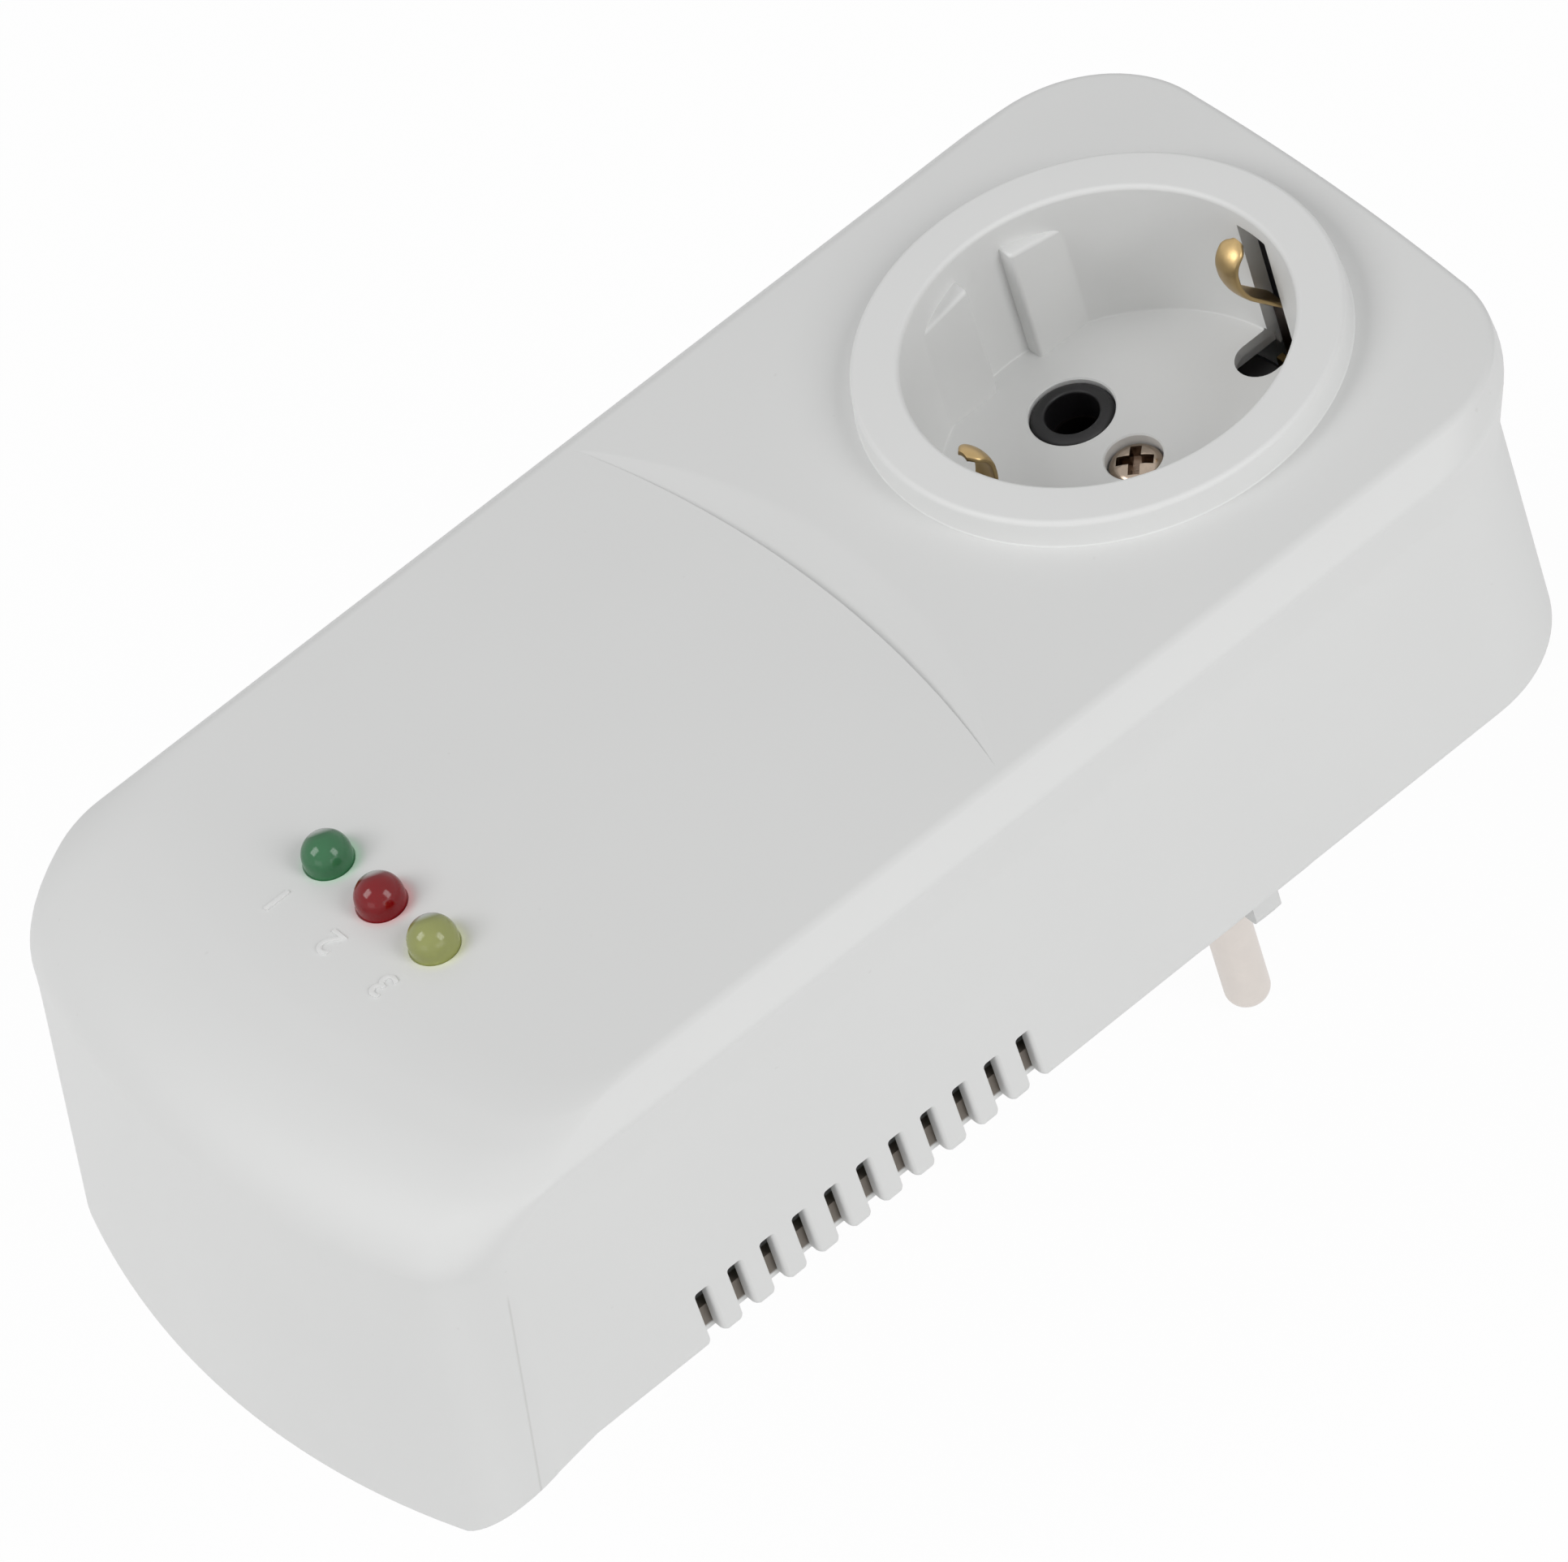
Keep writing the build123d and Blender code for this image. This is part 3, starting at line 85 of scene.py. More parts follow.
# How far the base cover's long rims come out towards the case's walls, in millimetres
RIM_OUT = 0.85
# How far the waist, the widest line and the lamp end's lean are eased, in millimetres of height
WAIST_EASE, EDGE_EASE, LEAN_EASE = 0.7, 0.5, 5.0
# The point that the lights face, in metres
OBJECT_MIDDLE = (-0.036, 0.0, 0.03)


# Properties

def length(name, description, default):
    """A size in millimetres for the sidebar."""
    return bpy.props.FloatProperty(name=name, description=description, default=default, min=0.0, precision=2)


def colour(name, description, default):
    """A linear colour for the sidebar."""
    return bpy.props.FloatVectorProperty(
        name=name, description=description, default=default, size=3, subtype="COLOR", min=0.0, max=1.0
    )


class CaseSizes(bpy.types.PropertyGroup):
    """Sizes of the case, in millimetres."""

    wall: length("Wall", "Thickness of the case's wall", 1.4)
    top_half_width: length("Top half width", "Half width of the flat top", 33.6)
    widest_half_width: length("Widest half width", "Half width at the cap's widest line", 36.5)
    waist_half_width: length("Waist half width", "Half width where the cap meets the wall", 35.1)
    foot_half_width: length("Foot half width", "Half width of the wall, carried down to the chin", 36.1)
    widest_drop: length("Widest drop", "Depth of the widest line below the top", 2.85)
    waist_drop: length("Waist drop", "Depth of the waist below the top", 9.2)
    side_edge: length("Side edge", "Height of the side walls' lower edge above the plug's face", 24.0)
    end_overhang: length("End overhang", "How far the cap overhangs the socket end's wall", 3.3)
    end_slope: length("End slope", "How far the cap's side leans in at the socket end, up to the top", 0.8)
    end_bow: length("End bow", "How far the socket end bows out in its middle", 0.6)
    socket_corner: length("Socket corner", "Corner radius of the wall at the socket end", 14.4)
    cap_corner: length("Cap corner", "Corner radius of the cap's widest line at the socket end", 18.8)
    top_corner: length("Top corner", "Corner radius of the flat top at the socket end", 13.5)
    lamp_end_lean: length("Lamp end lean", "How far the lamp end's wall leans in", 4.3)
    lamp_end_blend: length("Lamp end blend", "Run of the large curve into the top", 20.9)
    lamp_end_radius: length("Lamp end radius", "Radius of the lamp end's arc, from above", 93.0)
    lamp_corner: length("Lamp corner", "Corner radius at the lamp end", 8.8)
    chin_start: length("Chin start", "Distance from the lamp end to where the lower edge drops", 19.7)
    chin_end: length("Chin end", "Distance from the lamp end to where the chin is lowest", 5.9)
    top_rounding: length("Top rounding", "Run of the rounding round the flat top", 0.7)
    vent_width: length("Vent width", "Width of a ventilation slot", 1.5)
    vent_pitch: length("Vent pitch", "Distance between ventilation slots", 4.055)
    vent_count: bpy.props.IntProperty(name="Vents", description="Slots on each side", default=11, min=1)
    vent_height: length("Vent height", "Height of a ventilation slot above the edge", 7.0)
    base_recess: length("Base recess", "How far the CAD base cover lies above the walls' edge", 0.8)
    tooth_corner: length("Tooth corner", "Corner radius of the teeth between the slots", 0.8)
    vent_run: length("Vent run", "Distance of the first ventilation slot from the lamp end", 33.85)
    step_radius: length("Step radius", "Radius of the panel's curved edge", 133.0)
    step_apex: length("Step distance", "Distance from the socket's axis to the panel's edge", 37.2)
    step_depth: length("Step depth", "Depth of the step at its middle", 0.72)
    ramp_run: length("Ramp run", "Run of the ramp in front of the step", 5.5)
    ramp_radius: length("Ramp radius", "Radius of the ramp's outer line", 60.0)


class SocketSizes(bpy.types.PropertyGroup):
    """Sizes of the socket, in millimetres."""

    axis_x: length("Axis", "Distance of the socket's axis from the plug's axis", 10.3)
    well_radius: length("Well radius", "Radius of the well", 19.5)
    well_depth: length("Well depth", "Depth of the well below the ring's top", 17.5)
    well_wall: length("Well wall", "Thickness of the well's wall", 1.8)
    floor: length("Floor", "Thickness of the well's floor", 3.0)
    ring_radius: length("Ring radius", "Outer radius of the raised ring", 24.6)
    ring_height: length("Ring height", "Height of the ring above the case", 3.1)
    guide_face: length("Guide face", "Distance of the guide blocks' faces from the axis", 17.4)
    guide_inner: length("Guide inner", "Start of a guide block beside the gap", 2.75)
    guide_outer: length("Guide outer", "End of a guide block", 9.4)
    guide_drop: length("Guide drop", "Depth of a guide block's top beside the gap", 2.9)
    guide_outer_drop: length("Guide outer drop", "Depth of a guide block's top at its outer end", 4.2)
    collar_radius: length("Collar radius", "Outer radius of a contact hole's collar", 4.3)
    hole_radius: length("Hole radius", "Radius of a contact hole", 2.75)
    half_spacing: length("Half spacing", "Half the distance between the contact holes", 9.5)
    slot_half_width: length("Slot half width", "Half width of the earth slots in the wall", 2.1)
    slot_drop: length("Slot drop", "Depth of the earth slots' tops below the ring", 2.3)
    floor_slot_half_width: length("Floor slot half width", "Half width of the earth slots in the floor", 2.5)
    floor_slot_inner: length("Floor slot inner", "Start of the floor slots from the axis", 14.0)
    clip_leg: length("Clip leg", "Distance of a clip's leg from the axis", 20.7)
    recess_radius: length("Recess radius", "Radius of the screw's recess", 2.95)
    recess_depth: length("Recess depth", "Depth of the screw's recess", 1.9)


class LampSizes(bpy.types.PropertyGroup):
    """Sizes of an indicator lamp, in millimetres."""

    radius: length("Radius", "Radius of a lamp's barrel", 2.5)
    flange: length("Flange", "Radius of a lamp's flange", 2.9)
    hole_radius: length("Hole radius", "Radius of the case's hole round a lamp", 2.505)
    mark_size: length("Mark size", "Height of the numbers beside the lamps", 3.1)


class FinishColours(bpy.types.PropertyGroup):
    """Colours of the finishes."""

    case: colour("Case", "Off-white moulded plastic", (0.77, 0.774, 0.768))
    contact_black: colour("Contact black", "Black plastic round the contacts", (0.008, 0.0075, 0.0085))
    pin_metal: colour("Pin metal", "Nickel on the plug's pins", (0.72, 0.67, 0.63))
    brass: colour("Brass", "Brass of the earth clips", (0.47, 0.335, 0.16))
    green: colour("Green resin", "Green lamp", (0.060, 0.250, 0.105))
    red: colour("Red resin", "Red lamp", (0.32, 0.001, 0.006))
    yellow: colour("Yellow resin", "Yellow lamp", (0.46, 0.49, 0.17))


class StageSettings(bpy.types.PropertyGroup):
    """The camera's settings."""

    lens: bpy.props.FloatProperty(name="Lens", description="Focal length", default=307.66, unit="CAMERA")
    azimuth: bpy.props.FloatProperty(
        name="Azimuth", description="Direction of the camera", default=math.radians(-25.736), subtype="ANGLE"
    )
    elevation: bpy.props.FloatProperty(
        name="Elevation", description="Height of the camera", default=math.radians(46.326), subtype="ANGLE"
    )
    roll: bpy.props.FloatProperty(
        name="Roll", description="Turn of the picture", default=math.radians(18.845), subtype="ANGLE"
    )
    aim: bpy.props.FloatVectorProperty(
        name="Aim", description="Point in the picture's middle", default=(-0.03667, 0.00006, 0.04), size=3
    )
    distance: bpy.props.FloatProperty(
        name="Distance", description="From the camera to the aim", default=1.2924, unit="LENGTH"
    )


# Modelling helpers

def between(low, high, share):
    """The value at a share of the way from low to high."""
    return low + (high - low) * share


def clear_selection():
    """Leaves object mode with nothing selected."""
    if bpy.context.object is not None and bpy.context.object.mode != "OBJECT":
        bpy.ops.object.mode_set(mode="OBJECT")
    bpy.ops.object.select_all(action="DESELECT")


def pick(obj):
    """Makes obj the only selected and active object."""
    clear_selection()
    obj.select_set(True)
    bpy.context.view_layer.objects.active = obj


def move_vertices(obj, order, ring):
    """Puts the edit mesh's vertices at the ring's places. order maps a vertex index to its place."""
    mesh = bmesh.from_edit_mesh(obj.data)
    mesh.verts.ensure_lookup_table()
    for index, place in order.items():
        mesh.verts[index].co = Vector(ring[place]) * MM
    bmesh.update_edit_mesh(obj.data)


def select_ring(obj, order):
    """Selects the vertices of one ring and the edges between them."""
    bpy.ops.mesh.select_all(action="DESELECT")
    mesh = bmesh.from_edit_mesh(obj.data)
    mesh.verts.ensure_lookup_table()
    for index in order:
        mesh.verts[index].select = True
    mesh.select_flush(True)
    bmesh.update_edit_mesh(obj.data)


def loft(name, rings):
    """A circle that is extruded from ring to ring and closed at both ends.

    Each ring is a list of points in millimetres.
    """
    clear_selection()
    bpy.ops.mesh.primitive_circle_add(vertices=len(rings[0]), radius=0.01)
    obj = bpy.context.object
    obj.name = name
    bpy.ops.object.mode_set(mode="EDIT")
    bpy.ops.mesh.select_mode(type="VERT")
    bpy.ops.mesh.select_all(action="SELECT")
    order = {index: index for index in range(len(rings[0]))}
    move_vertices(obj, order, rings[0])
    first = dict(order)
    for ring in rings[1:]:
        bpy.ops.mesh.extrude_region_move()
        mesh = bmesh.from_edit_mesh(obj.data)
        mesh.verts.index_update()
        following = {}
        for vertex in mesh.verts:
            if vertex.select:
                others = (edge.other_vert(vertex) for edge in vertex.link_edges)
                neighbour = next(other for other in others if not other.select)
                following[vertex.index] = order[neighbour.index]
        order = following
        move_vertices(obj, order, ring)
    for end in (order, first):
        select_ring(obj, end)
        bpy.ops.mesh.edge_face_add()
    bpy.ops.mesh.select_all(action="SELECT")
    bpy.ops.mesh.normals_make_consistent(inside=False)
    bpy.ops.object.mode_set(mode="OBJECT")
    return obj


def turned(name, profile, centre=(0.0, 0.0), steps=96):
    """A lathe piece on an upright axis. profile is a list of (radius, height)."""
    turns = [2 * math.pi * step / steps for step in range(steps)]
    rings = []
    for radius, z in profile:
        rings.append([(centre[0] + radius * math.cos(t), centre[1] + radius * math.sin(t), z) for t in turns])
    return loft(name, rings)


def arc(centre, radius, start, end, steps):
    """Profile points along an arc. Angles are in degrees, 0 outwards and 90 up."""
    angles = (math.radians(start + (end - start) * step / steps) for step in range(steps + 1))
    return [(centre[0] + radius * math.cos(a), centre[1] + radius * math.sin(a)) for a in angles]


def prism(name, outline, low, high, axis="Y"):
    """An outline that is extruded along Y or Z. The outline's points are (x, z) for Y and (x, y) for Z."""
    if axis == "Y":
        rings = [[(x, depth, z) for x, z in outline] for depth in (low, high)]
    else:
        rings = [[(x, y, depth) for x, y in outline] for depth in (low, high)]
    return loft(name, rings)


def block(name, low, high):
    """A cube set to two corners, in millimetres."""
    clear_selection()
    bpy.ops.mesh.primitive_cube_add(size=1.0)
    obj = bpy.context.object
    obj.name = name
    for vertex in obj.data.vertices:
        spot = [low[i] if vertex.co[i] < 0 else high[i] for i in range(3)]
        vertex.co = Vector(spot) * MM
    return obj


def apply_modifiers(obj):
    """Applies all of the object's modifiers in order."""
    pick(obj)
    for modifier in list(obj.modifiers):
        bpy.ops.object.modifier_apply(modifier=modifier.name)


def join(objects, name):
    """Joins the objects into one mesh."""
    clear_selection()
    for obj in objects:
        obj.select_set(True)
    bpy.context.view_layer.objects.active = objects[0]
    if len(objects) > 1:
        bpy.ops.object.join()
    objects[0].name = name
    return objects[0]


def cut(obj, tools, operation="DIFFERENCE"):
    """Cuts the tools away from the object, or joins them on, and deletes them."""
    for tool in tools:
        modifier = obj.modifiers.new("cut", "BOOLEAN")
        modifier.operation = operation
        modifier.object = tool
        modifier.solver = "EXACT"
        apply_modifiers(obj)
        bpy.data.objects.remove(tool)


def bevel(obj, width, segments=3, angle=30.0):
    """Rounds the sharp edges."""
    modifier = obj.modifiers.new("edges", "BEVEL")
    modifier.width = width * MM
    modifier.segments = segments
    modifier.limit_method = "ANGLE"
    modifier.angle_limit = math.radians(angle)
    modifier.miter_outer = "MITER_ARC"
    apply_modifiers(obj)


def smooth(obj, angle=32.0):
    """Smooth shading that keeps flat faces flat and sharp edges sharp."""
    pick(obj)
    bpy.ops.object.shade_smooth_by_angle(angle=math.radians(angle))
    modifier = obj.modifiers.new("normals", "WEIGHTED_NORMAL")
    modifier.keep_sharp = True
    modifier.weight = 80
    apply_modifiers(obj)


def merge_doubles(obj):
    """Merges vertices in one place and turns the faces outward."""
    pick(obj)
    bpy.ops.object.mode_set(mode="EDIT")
    bpy.ops.mesh.select_all(action="SELECT")
    bpy.ops.mesh.remove_doubles(threshold=0.002 * MM)
    bpy.ops.mesh.normals_make_consistent(inside=False)
    bpy.ops.object.mode_set(mode="OBJECT")


def copy_node(node, name):
    """A merged copy of a CAD node's mesh, with its flat faces made whole."""
    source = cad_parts[node]
    obj = bpy.data.objects.new(name, source.data.copy())
    bpy.context.collection.objects.link(obj)
    pick(obj)
    bpy.ops.object.mode_set(mode="EDIT")
    bpy.ops.mesh.select_all(action="SELECT")
    bpy.ops.mesh.customdata_custom_splitnormals_clear()
    bpy.ops.mesh.remove_doubles(threshold=0.002 * MM)
    bpy.ops.mesh.dissolve_limited(angle_limit=math.radians(0.5))
    bpy.ops.object.mode_set(mode="OBJECT")
    return obj


def finish_piece(obj, body, nodes, material):
    """Gives a piece its material, its body and the CAD nodes that it stands for."""
    obj.data.materials.clear()
    obj.data.materials.append(material)
    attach(obj, body)
    if nodes:
        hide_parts(*nodes)


# Materials

def maths(operation, swapped=False):
    """A method for one of Python's operators that adds a maths node."""
    def method(self, other):
        return self.math(operation, *((other, self) if swapped else (self, other)))

    return method


class Wire:
    """A shader socket that takes part in Python expressions."""

    __add__, __radd__ = maths("ADD"), maths("ADD", swapped=True)
    __sub__, __rsub__ = maths("SUBTRACT"), maths("SUBTRACT", swapped=True)
    __mul__, __rmul__ = maths("MULTIPLY"), maths("MULTIPLY", swapped=True)
    __truediv__ = maths("DIVIDE")

    def __init__(self, sheet, socket):
        self.sheet = sheet
        self.socket = socket

    def math(self, operation, *values, clamp=False):
        """A maths node. Its values are numbers or wires."""
        settings = {"operation": operation, "use_clamp": clamp}
        return self.sheet.node("ShaderNodeMath", settings, dict(enumerate(values)))

    def __abs__(self):
        return self.math("ABSOLUTE", self)

    def clamped(self):
        """The value held between 0 and 1."""
        return self.math("ADD", self, 0.0, clamp=True)


class Sheet:
    """The shader nodes of a material or a world."""

    def __init__(self, owner):
        self.owner = owner
        owner.use_nodes = True
        self.tree = owner.node_tree
        self.tree.nodes.clear()

    def node(self, kind, settings, values, out=0):
        """Adds a node. Its settings are set first, then its sockets' values or links."""
        node = self.tree.nodes.new(kind)
        for key, value in settings.items():
            setattr(node, key, value)
        for key, value in values.items():
            if isinstance(value, Wire):
                self.tree.links.new(value.socket, node.inputs[key])
            else:
                node.inputs[key].default_value = value
        return Wire(self, node.outputs[out]) if len(node.outputs) else None


class Finish(Sheet):
    """A material whose patterns lie in the object's own coordinates."""

    def __init__(self, name):
        super().__init__(bpy.data.materials.new(name))
        self.place = self.node("ShaderNodeTexCoord", {}, {}, "Object")

    def axes(self):
        """The object coordinates, as three values in metres."""
        split = self.node("ShaderNodeSeparateXYZ", {}, {"Vector": self.place})
        return [Wire(self, output) for output in split.socket.node.outputs]

    def noise(self, scale, detail=3.0, roughness=0.5, stretch=None):
        """Noise of a given scale per metre, from 0 to 1."""
        spot = self.place
        if stretch:
            spot = self.node("ShaderNodeMapping", {}, {"Vector": self.place, "Scale": stretch})
        values = {"Vector": spot, "Scale": scale, "Detail": detail, "Roughness": roughness}
        return self.node("ShaderNodeTexNoise", {}, values, "Fac")

    def bands(self, direction, scale, distortion, detail=2.0):
        """Wavy bands of a given scale per metre, from 0 to 1."""
        settings = {"wave_type": "BANDS", "bands_direction": direction}
        values = {"Vector": self.place, "Scale": scale, "Distortion": distortion, "Detail": detail}
        return self.node("ShaderNodeTexWave", settings, values, "Fac")

    def mix(self, factor, first, second):
        """A mix of two colours."""
        first, second = (end if isinstance(end, Wire) else (*end, 1.0) for end in (first, second))
        return self.node("ShaderNodeMix", {"data_type": "RGBA"}, {0: factor, 6: first, 7: second}, 2)

    def relief(self, height, depth):
        """A bump from a height. depth is in millimetres."""
        return self.node("ShaderNodeBump", {}, {"Height": height, "Distance": depth * MM, "Strength": 1.0})

    def shaded(self, **sockets):
        """The finished material, from the surface shader's sockets, named with underscores."""
        values = {key.replace("_", " "): value for key, value in sockets.items()}
        if not isinstance(values["Base Color"], Wire):
            values["Base Color"] = (*values["Base Color"], 1.0)
        surface = self.node("ShaderNodeBsdfPrincipled", {}, values)
        self.node("ShaderNodeOutputMaterial", {}, {"Surface": surface})
        return self.owner


def tint(colour_value, share):
    """A colour made lighter or darker by a share of itself."""
    return tuple(min(1.0, max(0.0, part * (1.0 + share))) for part in colour_value)


def moulded_plastic(name, base, roughness=0.54, grain=0.006, seam=False, glows=(), painted_rim_shade=None):
    """Satin moulded plastic with a fine spark-eroded grain and a little shade variation.

    glows are the places (x, y) and colours of the light that the lamps pass on to the case, in millimetres;
    this light is painted into the case's colour.
    The last argument gives how far out and how high, in millimetres, painted shade begins to darken the
    piece, as on rims that stand in the shadow behind the case's walls.
    """
    finish = Finish(name)
    cloud = finish.noise(38.0, 2.0)
    fine = finish.noise(2600.0, 2.0, 0.6)
    shade = finish.mix(cloud, tint(base, -0.018), tint(base, 0.018))
    height = fine
    x, y, z = finish.axes()
    # painted light: a pale tint of each lamp's colour round its foot
    for glow_x, glow_y, glow in glows:
        ends = {0: finish.place, 1: (glow_x * MM, glow_y * MM, SHELL_HIGH.z * MM)}
        away = finish.node("ShaderNodeVectorMath", {"operation": "DISTANCE"}, ends, "Value")
        near = (1.0 - (away - 2.5 * MM) / (1.3 * MM)).clamped()
        shade = finish.mix(near * near * 0.5, shade, glow)
    # painted shade: the rims that stand behind the ventilation slots turn dark brown
    if painted_rim_shade:
        outwards, up = painted_rim_shade
        rim = ((abs(y) - outwards * MM) / (0.2 * MM)).clamped()
        above = ((z - up * MM) / (0.3 * MM)).clamped()
        shade = finish.mix(rim * above, shade, (0.17, 0.145, 0.12))
    if seam:
        slope = (SEAM_FOOT_X - SEAM_TOP_X) / (SEAM_TOP_Z - SEAM_FOOT_Z)
        fall = SEAM_TOP_Z * MM - z
        line = (1.0 - abs(x - (SEAM_TOP_X * MM + fall * slope)) / (0.16 * MM)).clamped()
        near_side = ((-30.5 * MM - y) / (0.5 * MM)).clamped()
        groove = line * near_side * (fall / (1.5 * MM)).clamped()
        dirt = ((finish.noise(900.0, 1.0) - 0.80) / 0.05).clamped()
        shade = finish.mix(groove * 0.22, shade, (0.33, 0.31, 0.28))
        shade = finish.mix(dirt * 0.10, shade, (0.36, 0.33, 0.30))
        height = fine - groove * 6.0
    rough = roughness + (fine - 0.5) * 0.08 + (cloud - 0.5) * 0.05
    return finish.shaded(Base_Color=shade, Roughness=rough, IOR=1.49, Normal=finish.relief(height, grain))


def metal(name, base, roughness=0.28, wear=0.10, stretch=None, darken_below=None):
    """Plated or rolled metal with fine scratches and a dull film in places.

    The last argument gives a height, a run and a colour: below the height, the metal turns to that colour
    over the run, which on the clips is painted shade.
    """
    finish = Finish(name)
    film = finish.noise(420.0, 4.0, 0.6)
    scratch = finish.noise(5200.0, 2.0, 0.7, stretch)
    shade = finish.mix(film, tint(base, -wear), tint(base, wear))
    # darker below a given height: painted shade on the clips' legs
    if darken_below:
        height, run, dark = darken_below
        x, y, z = finish.axes()
        shade = finish.mix(((height * MM - z) / (run * MM) + (film - 0.5) * 0.4).clamped(), shade, dark)
    bump = finish.relief(scratch, 0.004)
    rough = roughness + (film - 0.5) * 0.16 + (scratch - 0.5) * 0.08
    return finish.shaded(Base_Color=shade, Roughness=rough, Metallic=1.0, Normal=bump)


def lamp_resin(name, base, centre, radius):
    """Tinted, slightly milky resin. centre and radius are the dome's; its far upper rim has a painted pale
    reflection, with a painted darker band below it.
    """
    finish = Finish(name)
    haze = finish.noise(700.0, 2.0)
    shade = finish.mix(haze, tint(base, -0.06), tint(base, 0.06))
    x, y, z = (axis - middle * MM for axis, middle in zip(finish.axes(), centre))
    far = (x * 0.31 + y * 0.65 + z * 0.69) / (radius * MM)
    # painted shade: a darker band on the dome's far side; painted reflection: a pale spot on its far upper
    # rim
    shade = finish.mix(((far - 0.60) / 0.2).clamped() * 0.3, shade, tint(base, -0.7))
    shade = finish.mix(((far - 0.78) / 0.18).clamped() * 0.85, shade, (0.82, 0.86, 0.83))
    rough = 0.13 + (haze - 0.5) * 0.04
    return finish.shaded(
        Base_Color=shade, Roughness=rough, IOR=1.52, Specular_IOR_Level=0.3, Transmission_Weight=0.35
    )


def board_finish(name, base):
    """Green varnish over copper tracks."""
    finish = Finish(name)
    track = ((finish.bands("DIAGONAL", 130.0, 9.0, 1.0) - 0.55) / 0.06).clamped()
    shade = finish.mix(track, base, tint(base, 0.9))
    return finish.shaded(Base_Color=shade, Roughness=0.26 + track * 0.06, Normal=finish.relief(track, 0.03))


def wound_wire(name, base):
    """Turns of enamelled wire round the coil's axis."""
    finish = Finish(name)
    wave = finish.bands("X", 650.0, 0.4)
    shade = finish.mix(wave, tint(base, -0.45), tint(base, 0.2))
    return finish.shaded(Base_Color=shade, Roughness=0.3, Metallic=0.7, Normal=finish.relief(wave, 0.08))


def banded_coat(name, base, bands):
    """Lacquer with coloured bands round each small part that lies along Y."""
    finish = Finish(name)
    x, y, z = finish.axes()
    shade = finish.mix(finish.noise(800.0), tint(base, -0.08), tint(base, 0.08))
    cell = y.math("WRAP", y, 5 * MM, -5 * MM)
    for offset, band_colour in bands:
        mask = (1.0 - abs(cell - offset * MM) / (0.35 * MM)).clamped()
        shade = finish.mix((mask * 4.0).clamped(), shade, band_colour)
    return finish.shaded(Base_Color=shade, Roughness=0.3)


def clear_glass(name):
    """Thin clear glass of the fuse."""
    finish = Finish(name)
    rough = 0.03 + finish.noise(300.0) * 0.04
    return finish.shaded(Base_Color=(0.92, 0.96, 0.96), Roughness=rough, IOR=1.5, Transmission_Weight=0.95)


# Case

def eased(z, knots, soft):
    """A value along straight runs between knots, with each inner corner eased over a distance."""
    value = knots[-1][1]
    for (z0, v0), (z1, v1) in zip(knots, knots[1:]):
        if z <= z1:
            value = between(v0, v1, (z - z0) / (z1 - z0))
            break
    for (za, va), (zb, vb), (zc, vc), ease in zip(knots, knots[1:], knots[2:], soft):
        gap = abs(z - zb)
        if gap < ease:
            turn = (vc - vb) / (zc - zb) - (vb - va) / (zb - za)
            value += turn * (ease - gap) ** 2 / (4 * ease)
    return value


